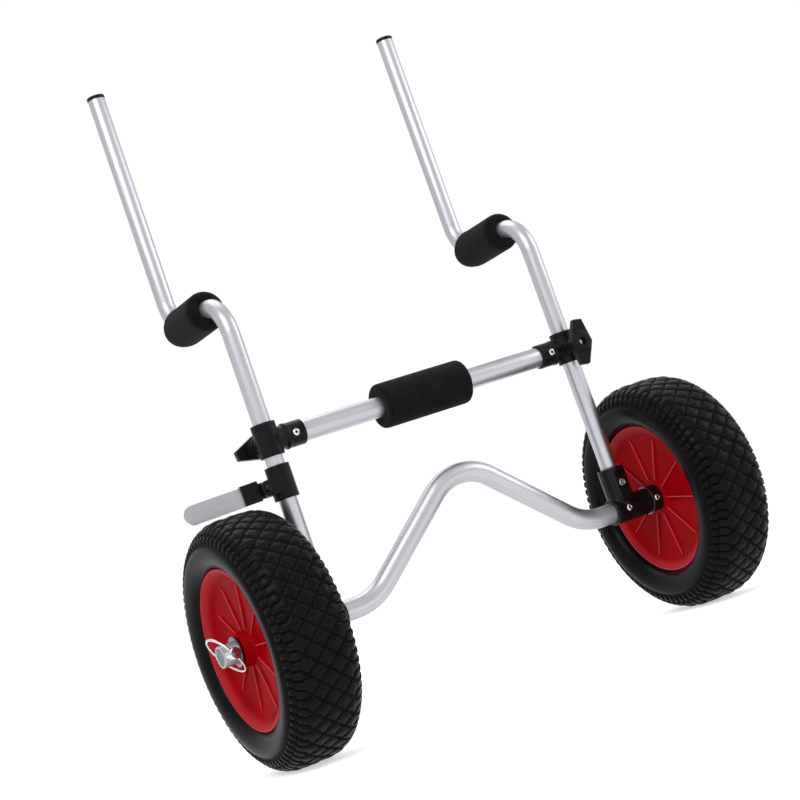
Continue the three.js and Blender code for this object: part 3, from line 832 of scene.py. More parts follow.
class TubeRoute:
    """A flat centre line: straight runs between corners that are rounded by bends."""

    def __init__(self, corners: Sequence[Place], bends: Sequence[float]) -> None:
        """Works out the legs.

        Args:
            corners: the points where the straight runs would meet, with both ends.
            bends: the bend's radius at each inner corner.
        """
        points = [Vector(corner) for corner in corners]
        self.legs: list[Leg] = []
        here = points[0]
        for index, radius in enumerate(bends, start=1):
            into = (points[index] - points[index - 1]).normalized()
            away = (points[index + 1] - points[index]).normalized()
            turn = into.angle(away)
            start = points[index] - into * radius * math.tan(turn / 2)
            self.legs.append(Leg(here, into, (start - here).length))
            axle = into.cross(away).normalized()
            centre = start + axle.cross(into) * radius
            self.legs.append(Leg(start, into, radius * turn, centre, axle, turn))
            here = points[index] + away * radius * math.tan(turn / 2)
        last = (points[-1] - points[-2]).normalized()
        self.legs.append(Leg(here, last, (points[-1] - here).length))
        first_bend = next(leg for leg in self.legs if leg.axle is not None)
        self.across = first_bend.axle

    def foot(self, point: Vector) -> tuple[Vector, Vector, float]:
        """Finds the place on the centre line that is nearest to a point.

        Args:
            point: any place.

        Returns:
            The place, the way that the line runs there, and the run to it from the start.
        """
        best: Optional[tuple[float, Vector, Vector, float]] = None
        passed = 0.0
        for leg in self.legs:
            along, place, heading = leg.nearest(point)
            distance = (point - place).length
            if best is None or distance < best[0] - 1e-6:  # a tie goes to the earlier leg
                best = (distance, place, heading, passed + along)
            passed += leg.length
        return best[1:]

    def straightened(self, point: Vector) -> Vector:
        """Gives a point's place on the tube as if the tube were straight along Z."""
        place, heading, run = self.foot(point)
        offset = point - place
        return Vector((offset.dot(self.across), offset.dot(heading.cross(self.across)), run))

    def sweep(self, name: str, radius: float, sides: int) -> Piece:
        """Draws a circle along the route by extruding and spinning it.

        Args:
            name: the piece's name.
            radius: the circle's radius.
            sides: straight pieces in the circle.

        Returns:
            An open skin.
        """
        first = self.legs[0]
        clear_selection()
        bpy.ops.mesh.primitive_circle_add(
            vertices=sides, radius=radius * MM, location=first.start * MM,
            rotation=first.direction.to_track_quat("Z", "X").to_euler(),
        )
        piece = fresh(name)
        with editing():
            for leg in self.legs:
                if leg.length < 0.01:  # two bends that meet
                    continue
                if leg.centre is None:
                    shift = leg.direction * leg.length * MM
                    bpy.ops.mesh.extrude_region_move(TRANSFORM_OT_translate={"value": shift})
                    continue
                steps = max(3, round(math.degrees(leg.turn) / BEND_STEP))
                bpy.ops.mesh.spin(
                    steps=steps, angle=-leg.turn, center=leg.centre * MM, axis=leg.axle
                )
        mend(piece)
        return piece

    def store_run(self, piece: Piece) -> None:
        """Stores each vertex's straightened place, in metres, for the drawn lines."""
        values: list[float] = []
        for vertex in piece.data.vertices:
            values.extend(self.straightened(vertex.co / MM) * MM)
        store(piece, "Run", values, "FLOAT_VECTOR")


class StraightRoute(TubeRoute):
    """A centre line with no bend."""

    def __init__(self, start: Place, end: Place) -> None:
        """Lays one straight leg."""
        first, last = Vector(start), Vector(end)
        way = (last - first).normalized()
        self.legs = [Leg(first, way, (last - first).length)]
        self.across = way.orthogonal().normalized()


@dataclass
class Tube:
    """A hollow tube along a route."""

    name: str
    route: TubeRoute
    radius: float
    wall: float
    rim: float = 0.35  # how far the cut ends are broken

    def build(self) -> Piece:
        """Sweeps the tube, gives it its wall and breaks the edges of its cut ends."""
        piece = self.route.sweep(self.name, self.radius, ROUND)
        apply_modifier(piece, "SOLIDIFY", thickness=self.wall * MM, offset=-1.0)
        mend(piece)
        break_edges(piece, self.rim, 2, 60)
        return piece


@dataclass
class AxleTube:
    """The tube that carries the wheels, bent up in an arch between the posts."""

    radius: float = 11.0
    wall: float = 2.0
    end: float = 307.8
    foot: float = 132.6
    apex: float = 111.4
    lean: float = 8.0
    foot_bend: float = 62.0
    crest_bend: float = 54.0
    pin: float = 301.3
    pin_hole: float = 3.8

    def route(self) -> TubeRoute:
        """The centre line, which leans forward about the axle."""
        lean = math.radians(self.lean)
        crest = (0.0, -self.apex * math.sin(lean), self.apex * math.cos(lean))
        corners = [
            (-self.end, 0, 0), (-self.foot, 0, 0), crest, (self.foot, 0, 0), (self.end, 0, 0)
        ]
        return TubeRoute(corners, [self.foot_bend, self.crest_bend, self.foot_bend])

    def build(self, shop: Workshop) -> None:
        """Builds the tube with its two pin holes."""
        route = self.route()
        piece = Tube("axle_pipe", route, self.radius, self.wall).build()
        reach = self.radius + 1
        for side in Side:
            drill(piece, Axis.Y, self.pin_hole, -reach, reach, (side.sign * self.pin, 0, 0))
        route.store_run(piece)
        settle(piece, "frame", shop.looks.tube, ("axle_tube",))


@dataclass
class Post:
    """A post that stands up through the hull, with the cap on its top."""

    radius: float = 9.5
    wall: float = 2.0
    foot: float = 14.3
    shoulder: float = 338.0
    reach: float = 142.0
    top: float = 612.5
    bend: float = 37.0
    cap_radius: float = 10.0
    cap_height: float = 4.0
    cap_plug: float = 16.0

    def tube(self) -> Piece:
        """Bends the post's tube, over the middle of the axle."""
        corners = [
            (0, 0, self.foot), (0, 0, self.shoulder), (0, self.reach, self.shoulder),
            (0, self.reach, self.top),
        ]
        route = TubeRoute(corners, [self.bend, self.bend])
        piece = Tube("post_pipe", route, self.radius, self.wall).build()
        route.store_run(piece)
        return piece

    def cap(self) -> Piece:
        """Turns the dipped cap that closes the post's top."""
        plug = self.radius - self.wall - GAP
        top, deep = self.cap_height, -self.cap_plug
        outline = rounded([
            (deep, 0), (top - 0.3, 0), (top, self.cap_radius * 0.6, 3),
            (top, self.cap_radius, 1.6), (GAP, self.cap_radius, 0.4), (GAP, plug),
            (deep + 1, plug), (deep, plug - 1),
        ])
        return turned("post_end_cap", outline, Axis.Z, (0, self.reach, self.top))

    def build(self, side: Side, shop: Workshop) -> None:
        """Stands one post at its socket, with its cap."""
        for label, model, look, node in (
            ("post_pipe", self.tube, shop.looks.tube, "post_tube"),
            ("post_end_cap", self.cap, shop.looks.vinyl, "post_cap"),
        ):
            piece = shop.at_post(side, label, model)
            settle(piece, f"{side.value}_post", look, (f"{side.value}_{node}",))


@dataclass
class FoamSleeve:
    """A foam sleeve on a tube, cut from a length and a little crowned where it was pushed on."""

    name: str
    route: TubeRoute
    radius: float
    bore: float
    edge: float = 8.5
    voxel: float = 2.6
    undersize: float = 0.5
    swell: float = 0.7  # the most that the cloth run moves a place
    pressure: float = 4.0
    cloth_steps: int = 20
    held: float = 2.5  # how far above the bore the foam is held

    def build(self) -> Piece:
        """Builds the sleeve, rounds its cut ends, and lets it swell as foam does."""
        skin = self.radius - self.undersize
        piece = self.route.sweep(self.name, skin, 48)
        apply_modifier(piece, "SOLIDIFY", thickness=(skin - self.bore) * MM, offset=-1.0)
        mend(piece)
        self.round_ends(piece)
        self.relax(piece)
        apply_modifier(piece, "SUBSURF", levels=1, render_levels=1)
        return piece

    def depth(self, point: Vector) -> float:
        """How far a point lies from the sleeve's centre line, in millimetres."""
        flat = self.route.straightened(point)
        return math.hypot(flat.x, flat.y)

    def round_ends(self, piece: Piece) -> None:
        """Remeshes the sleeve and draws the outer edge of both cut ends onto a quarter round."""
        full = sum(leg.length for leg in self.route.legs)
        apply_modifier(piece, "REMESH", mode="VOXEL", voxel_size=self.voxel * MM)
        corner = self.radius - self.undersize - self.edge
        for vertex in piece.data.vertices:
            point = vertex.co / MM
            foot, heading, along = self.route.foot(point)
            spoke = point - foot - heading * (point - foot).dot(heading)
            way = -1 if along < full / 2 else 1
            inset = along if way < 0 else full - along
            back, out = max(self.edge - inset, 0.0), max(spoke.length - corner, 0.0)
            reach = math.hypot(back, out)
            if back > 0 and out > 0 and reach > self.edge:
                less = 1 - self.edge / reach
                move = spoke.normalized() * out * less + heading * way * back * less
                vertex.co -= move * MM

    def relax(self, piece: Piece) -> None:
        """Swells the foam by a short cloth run, held at its bore, and caps how far it moves."""
        rest = [vertex.co.copy() for vertex in piece.data.vertices]
        deep = self.bore + self.held
        held = [i for i, co in enumerate(rest) if self.depth(co / MM) < deep]
        group = piece.vertex_groups.new(name="held")
        group.add(held, 1.0, "REPLACE")
        only(piece)
        modifier = piece.modifiers.new("Cloth", "CLOTH")
        modifier.settings.use_pressure = True
        modifier.settings.uniform_pressure_force = self.pressure
        modifier.settings.effector_weights.gravity = 0.0
        modifier.settings.vertex_group_mass = "held"
        modifier.point_cache.frame_end = self.cloth_steps
        for step in range(1, self.cloth_steps + 1):
            bpy.context.scene.frame_set(step)
        bpy.ops.object.modifier_apply(modifier=modifier.name)
        bpy.context.scene.frame_set(1)
        piece.vertex_groups.clear()
        for vertex, start in zip(piece.data.vertices, rest):
            move = vertex.co - start
            if move.length > self.swell * MM:
                vertex.co = start + move.normalized() * self.swell * MM


@dataclass
class Foams:
    """The sleeves on the posts' shoulders and on the crossbar."""

    post: Post = field(default_factory=Post)
    start: float = 37.3
    wrap: float = 31.0
    radius: float = 22.2
    tail: float = 0.02  # a last straight run, which ends the route after its bend
    bar_half: float = 52.0
    bar_offset: float = -3.0
    bar_radius: float = 24.4
    bar_edge: float = 3.5

    def shoulder_pad(self) -> Piece:
        """Builds a shoulder's sleeve, over the middle of the axle."""
        wrap = math.radians(self.wrap)
        run = self.post.bend * math.tan(wrap / 2)
        corner = self.post.reach - self.post.bend + run
        z = self.post.shoulder
        end_y = corner + run * math.cos(wrap) + self.tail
        end = (0, end_y, z + run * math.sin(wrap) + self.tail)
        route = TubeRoute([(0, self.start, z), (0, corner, z), end], [self.post.bend])
        return FoamSleeve("shoulder_pad", route, self.radius, self.post.radius + GAP).build()

    def crossbar_pad(self) -> Piece:
        """Builds the sleeve on the middle of the crossbar."""
        low, high = self.bar_offset - self.bar_half, self.bar_offset + self.bar_half
        route = StraightRoute((low, 0, BAR_Z), (high, 0, BAR_Z))
        sleeve = FoamSleeve("crossbar_pad", route, self.bar_radius, AXLE_BORE, self.bar_edge)
        return sleeve.build()

    def place(self, piece: Piece, node: str, body: str, shop: Workshop) -> None:
        settle(piece, body, shop.looks.foam, (node,), sharp=60)

    def build(self, shop: Workshop) -> None:
        """Builds the three sleeves."""
        for side in Side:
            piece = shop.at_post(side, "shoulder_pad", self.shoulder_pad)
            self.place(piece, f"{side.value}_shoulder_foam", f"{side.value}_post", shop)
        self.place(self.crossbar_pad(), "crossbar_foam", "frame", shop)


@dataclass
class Crossbar:
    """The tube between the two tees."""

    radius: float = 11.0
    wall: float = 1.5
    end: float = 173.1
    cuts: tuple[float, ...] = (-120, -60, 0, 60, 120)  # where add_rings cuts it

    def build(self, shop: Workshop) -> None:
        """Builds the crossbar."""
        route = StraightRoute((-self.end, 0, BAR_Z), (self.end, 0, BAR_Z))
        piece = Tube("crossbar_pipe", route, self.radius, self.wall).build()
        self.add_rings(piece)
        route.store_run(piece)
        settle(piece, "frame", shop.looks.tube, ("crossbar_tube",))

    def add_rings(self, piece: Piece) -> None:
        """Cuts the tube across into short rings, so that its lines are stored closely."""
        only(piece)
        with editing():
            for x in self.cuts:
                bpy.ops.mesh.select_all(action="SELECT")
                bpy.ops.mesh.bisect(plane_co=(x * MM, 0, 0), plane_no=(1, 0, 0))


# Fasteners


@dataclass
class Rivet:
    """A hollow rivet through a moulding, with a rolled head on each side."""

    seat: float
    shank: float = 2.0
    head: float = 3.6
    dome: float = 1.2
    eye: float = 1.35
    eye_depth: float = 3.0
    roll: float = 0.9  # from the eye to the head's highest ring
    rim: float = 0.45

    def build(self, name: str, centre: Place) -> Piece:
        """Turns the rivet at its place."""
        inner = self.seat + GAP
        outer = inner + self.dome
        floor = outer - self.eye_depth
        front = [
            (floor, self.eye), (outer - 0.2, self.eye, 0.5), (outer, self.eye + self.roll, 0.7),
            (inner + self.rim, self.head, 0.5), (inner, self.head, 0.1), (inner, self.shank),
        ]
        back = [(-along, *rest) for along, *rest in reversed(front)]
        outline = rounded([(-floor, 0), (floor, 0), *front, *back], 3)
        return turned(name, outline, Axis.Y, centre, 40)


@dataclass
class PostScrew:
    """The pan-headed screw in the block's recess, with a cross cut in its head."""

    height: float = 28.5
    front: float = 15.9
    head: float = 4.1
    head_depth: float = 2.0
    seat_depth: float = 2.2
    shank: float = 2.2
    tip: float = 9.9
    ring: float = 2.1
    ring_width: float = 0.9
    ring_depth: float = 0.35
    cross: float = 1.5
    cross_width: float = 0.42
    cross_depth: float = 0.9

    def build(self, name: str) -> Piece:
        """Turns the screw and cuts its cross and the ring round it."""
        seat = -(self.front - self.seat_depth) - GAP
        face = seat - self.head_depth + GAP
        floor = face + self.ring_depth
        near, far = self.ring, self.ring + self.ring_width
        outline = rounded([
            (face, 0), (face, near), (floor, near + 0.2, 0.1), (floor, far - 0.2, 0.1),
            (face, far, 0.1), (face, self.head, 0.5), (seat, self.head, 0.2),
            (seat, self.shank), (-self.tip, self.shank), (-self.tip, 0),
        ], 3)
        piece = turned(name, outline, Axis.Y, (POST_X, 0, self.height), 40)
        arms = (self.cross, self.cross_width)
        for width, tall in (arms, arms[::-1]):
            low = (POST_X - width, face - 1, self.height - tall)
            high = (POST_X + width, face + self.cross_depth, self.height + tall)
            combine(piece, bar("tool", low, high), Cut.TAKE)
        return piece


# Mouldings at the post


@dataclass
class AxleBlock:
    """The moulding that holds the post's foot and slides over the axle tube."""

    radius: float = 14.3
    inner: float = 16.7
    outer: float = 29.9
    top: float = 46.5
    pad_width: float = 16.0
    pad_depth: float = 1.6
    pad_low: float = 8.0
    pad_high: float = 43.0
    socket_floor: float = 14.0
    rivet_inset: float = 1.7
    recess: float = 4.4
    ring: float = 4.9
    ring_width: float = 0.7
    mark: float = 1.1
    mark_depth: float = 1.4
    mark_height: float = 38.6
    screw: PostScrew = field(default_factory=PostScrew)

    def skin(self) -> Piece:
        """Melts the socket, the sleeve and the screw's pad together."""
        front = self.radius + self.pad_depth
        place = (POST_X, 0, 0)
        left, right = POST_X - self.pad_width / 2, POST_X + self.pad_width / 2
        parts = [
            rod("axle_moulding", Axis.Z, self.radius, 0, self.top, place, 0.7, ROUND),
            rod("sleeve", Axis.X, self.radius, -self.inner, self.outer, place, 0.7, ROUND),
            bar("pad", (left, -front, self.pad_low), (right, -3, self.pad_high), 0.6),
        ]
        return fused(parts, 0.55, 5)

    def moulding(self) -> Piece:
        """Bores the block for the axle, the post and the screw, and marks its pad."""
        piece = self.skin()
        place = (POST_X, 0, 0)
        drill(piece, Axis.X, AXLE_BORE, -self.inner - 1, self.outer + 1, place, ROUND)
        drill(piece, Axis.Z, POST_BORE, self.socket_floor, self.top + 1, place, ROUND)
        face = -(self.radius + self.pad_depth)
        seat = face + self.screw.seat_depth
        place = (POST_X, 0, self.screw.height)
        recess = [(face - 1, 0), (face - 1, self.recess), (seat, self.recess), (seat, 0)]
        carve(piece, recess, Axis.Y, place, 40)
        low, high = face - 0.5, face + 0.5
        near, far = self.ring, self.ring + self.ring_width
        carve(piece, [(low, near), (low, far), (high, far), (high, near)], Axis.Y, place)
        place = (POST_X, 0, self.mark_height)
        drill(piece, Axis.Y, self.mark, face - 1, face + self.mark_depth, place, 24)
        return piece

    def foot_screw(self) -> Piece:
        """Makes the screw that keeps the post in."""
        return self.screw.build("foot_screw")

    def axle_rivet(self) -> Piece:
        """Makes the rivet through the sleeve and the axle."""
        return Rivet(self.radius).build("axle_rivet", (POST_X - self.rivet_inset, 0, 0))

    def build(self, side: Side, shop: Workshop) -> None:
        """Fits one block with its screw and its rivet."""
        looks = shop.looks
        shop.fit(
            side,
            Twin("axle_moulding", self.moulding, "frame", looks.satin, ("axle_block",), 40),
            Twin("foot_screw", self.foot_screw, "frame", looks.steel, ("post_screw",)),
            Twin("axle_rivet", self.axle_rivet, "frame", looks.steel, ("block_rivet",)),
        )


@dataclass
class Tee:
    """The moulding that slides on the post and holds one end of the crossbar."""

    collar: float = 13.0
    below: float = 16.0
    above: float = 19.0
    arm: float = 13.1
    arm_end: float = 39.0
    ridge: float = 0.6
    ridge_near: float = 18.0
    ridge_far: float = 20.6
    neck: float = 12.1
    neck_near: float = 13.5
    neck_far: float = 17.0
    boss: float = 8.6
    boss_end: float = 21.7
    stud_bore: float = 3.3
    pocket: float = 6.1
    pocket_depth: float = 5.6
    rivet: float = 27.0

    @property
    def centre(self) -> Place:
        """Where the post and the crossbar would cross."""
        return (POST_X, 0, BAR_Z)

    def arm_outline(self) -> Outline:
        """The arm's section: a notch by the collar, a ridge, and a plain run to the end."""
        end, radius = self.arm_end, self.arm
        high = radius + self.ridge
        return rounded([
            (-end, 0), (-end, radius, 0.8), (-self.ridge_far - 0.4, radius),
            (-self.ridge_far, high, 0.5), (-self.ridge_near, high, 0.5),
            (-self.neck_far, self.neck, 0.4), (-self.neck_near, self.neck, 0.4),
            (-8, radius), (-4, radius), (-4, 0),
        ], 3)

    def skin(self) -> Piece:
        """Melts the collar, the arm and the knob's boss together."""
        end = -self.boss_end
        boss = rounded([
            (end, 0), (end, self.boss, 0.6), (end + 3, self.boss, 0.4),
            (end + 4, self.boss - 0.7), (-3, self.boss - 0.2), (-3, 0),
        ], 3)
        ends = (-self.below, self.above)
        parts = [
            rod("tee_moulding", Axis.Z, self.collar, *ends, self.centre, 0.9, ROUND),
            turned("arm", self.arm_outline(), Axis.X, self.centre, ROUND),
            turned("boss", boss, Axis.Y, self.centre, 48),
        ]
        return fused(parts, 0.5, 3)

    def moulding(self) -> Piece:
        """Bores the tee for the post, the crossbar, the stud and its nut."""
        piece = self.skin()
        wall, end = -self.collar - 0.2, -self.boss_end
        for axis, radius, low, high, steps in (
            (Axis.Z, POST_BORE, -self.below - 1, self.above + 1, ROUND),
            (Axis.X, AXLE_BORE, -self.arm_end - 1, wall, ROUND),
            (Axis.Y, self.stud_bore, end - 1, 0, 48),
            (Axis.Y, self.pocket, end - 1, end + self.pocket_depth, 6),
        ):
            drill(piece, axis, radius, low, high, self.centre, steps)
        return piece

    def arm_rivet(self) -> Piece:
        """Makes the rivet through the arm and the crossbar."""
        return Rivet(self.arm).build("arm_rivet", (POST_X - self.rivet, 0, BAR_Z))

    def build(self, side: Side, shop: Workshop) -> None:
        """Fits one tee with its rivet."""
        shop.fit(
            side,
            Twin("tee_moulding", self.moulding, "frame", shop.looks.nylon, ("tee",), 40),
            Twin("arm_rivet", self.arm_rivet, "frame", shop.looks.steel, ("tee_rivet",)),
        )


@dataclass
class ClampKnob:
    """The wing knob whose stud presses on the post."""

    back: float = 22.0
    length: float = 16.0
    hub: float = 11.0
    span: float = 25.0
    root: float = 13.0
    tip: float = 5.0
    depth: float = 9.0
    thinner: float = 0.2
    setback: float = 2.0
    eye: float = 4.5
    eye_depth: float = 5.0
    stud: float = 3.0
    stud_tip: float = 12.3
    left_turn: float = 97.0  # degrees that the wings are turned from upright
    right_turn: float = 9.5

    @property
    def front(self) -> float:
        """Where the hub's face lies along Y."""
        return -(self.back + self.length)

    def wings(self) -> Piece:
        """Shapes the two wings from one bar that narrows and thins towards both tips."""
        face = self.front + self.setback
        low = (-self.root, face, -self.span)
        high = (self.root, face + self.depth, self.span)
        piece = bar("wings", low, high)
        only(piece)
        with editing():
            bpy.ops.mesh.subdivide(number_cuts=9)
        middle = face + self.depth / 2
        for vertex in piece.data.vertices:
            reach = abs(vertex.co.z / MM) / self.span
            width = self.root + (self.tip - self.root) * reach
            thin = 1 - self.thinner * reach
            vertex.co.x *= width / self.root
            vertex.co.y = (middle + (vertex.co.y / MM - middle) * thin) * MM
        return piece

    def skin(self) -> Piece:
        """Melts the hub and the wings together, with soft edges."""
        front = self.front
        outline = rounded([
            (front, 0), (front, self.hub - 1, 1.2), (front + 2.5, self.hub, 1),
            (-self.back - 4, self.hub, 0.8), (-self.back, self.hub - 1.5, 0.6), (-self.back, 0),
        ], 3)
        hub = turned("wing_knob", outline, Axis.Y, steps=ROUND)
        return fused([hub, self.wings()], 0.45, 6)

    def moulding(self) -> Piece:
        """Bores the knob for its stud and sinks the eye in its face."""
        start, floor = self.front - 1, self.front + self.eye_depth
        piece = self.skin()
        drill(piece, Axis.Y, self.stud + GAP, start, -self.back + 1)
        eye = rounded([(start, 0), (start, self.eye), (floor, self.eye, 0.4), (floor, 0)])
        carve(piece, eye, Axis.Y)
        return piece

    def clamp_stud(self) -> Piece:
        """Turns the stud."""
        ends = (self.front + self.eye_depth, -self.stud_tip)
        return rod("clamp_stud", Axis.Y, self.stud, *ends, (POST_X, 0, BAR_Z), 0.6, 32)

    def build(self, side: Side, shop: Workshop) -> None:
        """Fits one knob and its stud."""
        piece = shop.copy_of(side, "wing_knob", self.moulding)
        place = Matrix.Translation(Vector((POST_X, 0, BAR_Z)) * MM)
        turn = self.left_turn if side is Side.LEFT else self.right_turn
        piece.data.transform(place @ Matrix.Rotation(math.radians(turn), 4, "Y"))
        body = f"{side.value}_knob"
        settle(piece, body, shop.looks.nylon, (body,), side, 40)
        steel = shop.looks.steel
        shop.fit(side, Twin("clamp_stud", self.clamp_stud, "knob", steel, ("knob_stud",)))


# On the axle


@dataclass
class AxleRow:
    """What sits on the axle tube beside the wheel: washers, spacer collar, bushes, end plug."""

    washer: float = 15.4
    washer_depth: float = 1.2
    inner_washer: float = 216.9
    outer_washer: float = 290.2
    collar: float = 14.5
    collar_start: float = 218.4
    collar_end: float = 228.1
    flange: float = 15.1
    flange_face: float = 1.9
    bush: float = 13.7
    inner_bush: float = 230.3
    outer_bush: float = 288.0
    bush_length: float = 18.0
    plug: float = 8.7
    plug_start: float = 305.4
    plug_end: float = 307.3
    step: float = 4.6
    step_depth: float = 0.4

    def washer_at(self, x: float) -> Piece:
        """Turns a washer with its stamped edge, from a place along the axle."""
        end = x + self.washer_depth
        outline = rounded([
            (x, AXLE_BORE), (end, AXLE_BORE, 0.2), (end, self.washer, 0.35), (x, self.washer, 0.2)
        ])
        return turned("axle_washer", outline, Axis.X)

    def spacer(self) -> Piece:
        """Turns the spacer collar."""
        low, high = self.collar_start, self.collar_end
        outline = rounded([
            (low, AXLE_BORE), (high, AXLE_BORE, 0.3), (high, self.collar, 0.9),
            (low, self.collar, 0.9),
        ])
        return turned("axle_spacer", outline, Axis.X)

    def spacer_rivet(self) -> Piece:
        """Makes the rivet that holds the spacer to the axle."""
        middle = (self.collar_start + self.collar_end) / 2
        return Rivet(self.collar).build("spacer_rivet", (middle, 0, 0))

    def bush_at(self, seat: float, way: int) -> Piece:
        """Turns a flanged bush.

        Args:
            seat: where its flange sits along the axle.
            way: the direction that the flange faces.

        Returns:
            The bush.
        """
        deep, face = -self.bush_length, self.flange_face
        points = [
            (deep, AXLE_BORE, 0.3), (face, AXLE_BORE, 0.3), (face, self.flange, 0.5),
            (GAP, self.flange, 0.2), (GAP, self.bush), (deep, self.bush, 0.4),
        ]
        outline = rounded([(seat + way * x, r, *rest) for x, r, *rest in points])
        return turned("hub_bush", outline, Axis.X)

    def end_plug(self) -> Piece:
        """Turns the plug that closes the axle tube's end, with its moulded step."""
        end, low = self.plug_end, self.plug_end - self.step_depth
        outline = rounded([
            (self.plug_start, 0), (low, 0), (low, self.step, 0.2), (end, self.step + 0.6, 0.2),
            (end, self.plug, 0.4), (self.plug_start, self.plug),
        ])
        return turned("axle_end_plug", outline, Axis.X)

    def build(self, side: Side, shop: Workshop) -> None:
        """Fits all that sits on one end of the axle."""
        looks = shop.looks
        for label, x in (("inner", self.inner_washer), ("outer", self.outer_washer)):
            model, nodes = partial(self.washer_at, x), (f"{label}_washer",)
            shop.fit(side, Twin(f"{label}_axle_washer", model, "frame", looks.washer, nodes))
        for label, seat, way in (("outer", self.outer_bush, 1), ("inner", self.inner_bush, -1)):
            model, nodes = partial(self.bush_at, seat, way), (f"{label}_bush",)
            shop.fit(side, Twin(f"{label}_hub_bush", model, "wheel", looks.nylon, nodes))
        shop.fit(
            side,
            Twin("axle_spacer", self.spacer, "frame", looks.satin, ("spacer_collar",)),
            Twin("spacer_rivet", self.spacer_rivet, "frame", looks.steel, ("collar_rivet",)),
            Twin("axle_end_plug", self.end_plug, "frame", looks.plug, ("axle_plug",)),
        )


# Wheels


@dataclass
class Tyre:
    """The tyre: a diamond tread between rows of shoulder lugs."""

    middle: float = 254.0
    radius: float = 127.0
    half: float = 41.25
    shoulder: float = 27.0
    seat: float = 75.3
    steps: int = 800
    diamonds: int = 40
    diamond_width: float = 22.0
    diamond_zone: float = 27.0
    zigzag: float = 0.045
    dome: float = 0.3
    diamond_depth: float = 0.85
    lugs: int = 80
    lug_end: float = 46.0
    lug_depth: float = 0.75
    row: float = 38.0  # the groove between the two rows of lugs
    row_depth: float = 0.7
    groove: float = 2.4

    def outline(self) -> Outline:
        """The section: the seat on the rim, both sidewalls, shoulders and crown."""
        flat = self.half - self.shoulder
        low = self.radius - self.shoulder
        tread: Outline = []
        count = 44
        for step in range(count + 1):
            angle = math.pi * step / count
            middle = flat if angle <= math.pi / 2 else -flat
            x = middle + self.shoulder * math.cos(angle)
            tread.append((x, low + self.shoulder * math.sin(angle)))
            if step == count // 2:
                crown = [flat - flat * 2 * i / 20 for i in range(1, 21)]
                tread.extend((place, self.radius) for place in crown)
        wall = [(31.5, 82.8), (33.6, 83.6), (36.6, 86.0), (38.9, 89.4), (40.3, 93.4), (41.0, 97)]
        far = [
            (-41.0, 97), (-40.0, 92.6), (-37.6, 88.4), (-33.8, 85.0), (-29.6, 83.2), (-26.2, 82.8)
        ]
        return [(-18.2, self.seat), (18.2, self.seat), *wall, *tread, *far]

    def across(self, x: float, radius: float) -> float:
        """How far a place lies from the crown's middle, along the section."""
        flat = self.half - self.shoulder
        low = self.radius - self.shoulder
        if radius < low:
            return math.copysign(flat + self.shoulder * math.pi / 2 + low - radius, x)
        if abs(x) <= flat:
            return x
        angle = math.atan2(radius - low, abs(x) - flat)
        return math.copysign(flat + self.shoulder * (math.pi / 2 - angle), x)

    def depth(self, point: Vector) -> float:
        """The tread's depth below the block tops, from 0 to 1.

        Args:
            point: a place on the plain tyre, from the wheel's middle.

        Returns:
            1 at the bottom of a groove.
        """
        radius = math.hypot(point.y, point.z)
        turn = math.atan2(point.y, point.z) / math.tau
        across = self.across(point.x, radius)
        edge = abs(across)
        if edge > self.lug_end + 6:
            return 0.0
        around = turn * self.diamonds
        pitch = math.tau * self.radius / self.diamonds
        spacing = 1 / math.hypot(1 / pitch, 1 / self.diamond_width)
        deepest = 0.0
        if edge < self.diamond_zone + 2:
            nearest = spacing / 2
            for way in (1, -1):
                line = around + way * across / self.diamond_width
                other = around - way * across / self.diamond_width
                line += self.zigzag * (abs((other * 4) % 2 - 1) * 2 - 1)
                nearest = min(nearest, abs(line - round(line)) * spacing)
            deepest = self.diamond_depth * (1 - blend_step(0.6, 1.6, nearest))
            deepest = max(deepest, self.dome * (1 - blend_step(0.5, spacing / 2, nearest)))
            deepest *= 1 - blend_step(self.diamond_zone, self.diamond_zone + 2, edge)
        if edge > self.diamond_zone - 2:
            line = turn * self.lugs + 0.5 + (0.25 if edge > self.row else 0.0)
            distance = abs(line - round(line)) * pitch / 2
            wide = 1.0 + (edge - self.diamond_zone) * 0.04
            lug = 1 - blend_step(wide * 0.6, wide * 1.9, distance)
            lug *= blend_step(self.diamond_zone - 1, self.diamond_zone + 1, edge)
            ring = 1 - blend_step(0.4, 1.3, abs(edge - self.row))
            lug = max(lug, self.row_depth * ring)
            below = blend_step(self.lug_end - 1.5, self.lug_end + 1.5, edge)
            deepest = max(deepest, lug * (1 - below), self.lug_depth * below)
        fade = 1 - blend_step(self.lug_end + 2, self.lug_end + 6, edge)
        return deepest * fade

    def moulding(self) -> Piece:
        """Turns the tyre, presses its tread in and stores the depth for the rubber."""
        piece = turned("treaded_tyre", self.outline(), Axis.X, (self.middle, 0, 0), self.steps)
        flat = self.half - self.shoulder
        low = self.radius - self.shoulder
        depths: list[float] = []
        for vertex in piece.data.vertices:
            place = vertex.co / MM - Vector((self.middle, 0, 0))
            radius = math.hypot(place.y, place.z)
            deep = 0.0 if radius < self.seat + 5 else self.depth(place)
            depths.append(deep)
            if not deep:
                continue
            over = max(abs(place.x) - flat, 0.0)
            lean = math.atan2(over, max(radius - low, 0.01))
            inwards = Vector((0, -place.y / radius, -place.z / radius)) * math.cos(lean)
            inwards.x = -math.copysign(math.sin(lean), place.x)
            vertex.co += inwards * deep * self.groove * MM
        store(piece, "Tread", depths)
        return piece

    def build(self, side: Side, shop: Workshop) -> None:
        """Fits one tyre."""
        rubber = shop.looks.rubber
        shop.fit(side, Twin("treaded_tyre", self.moulding, "wheel", rubber, ("tyre",), 60))


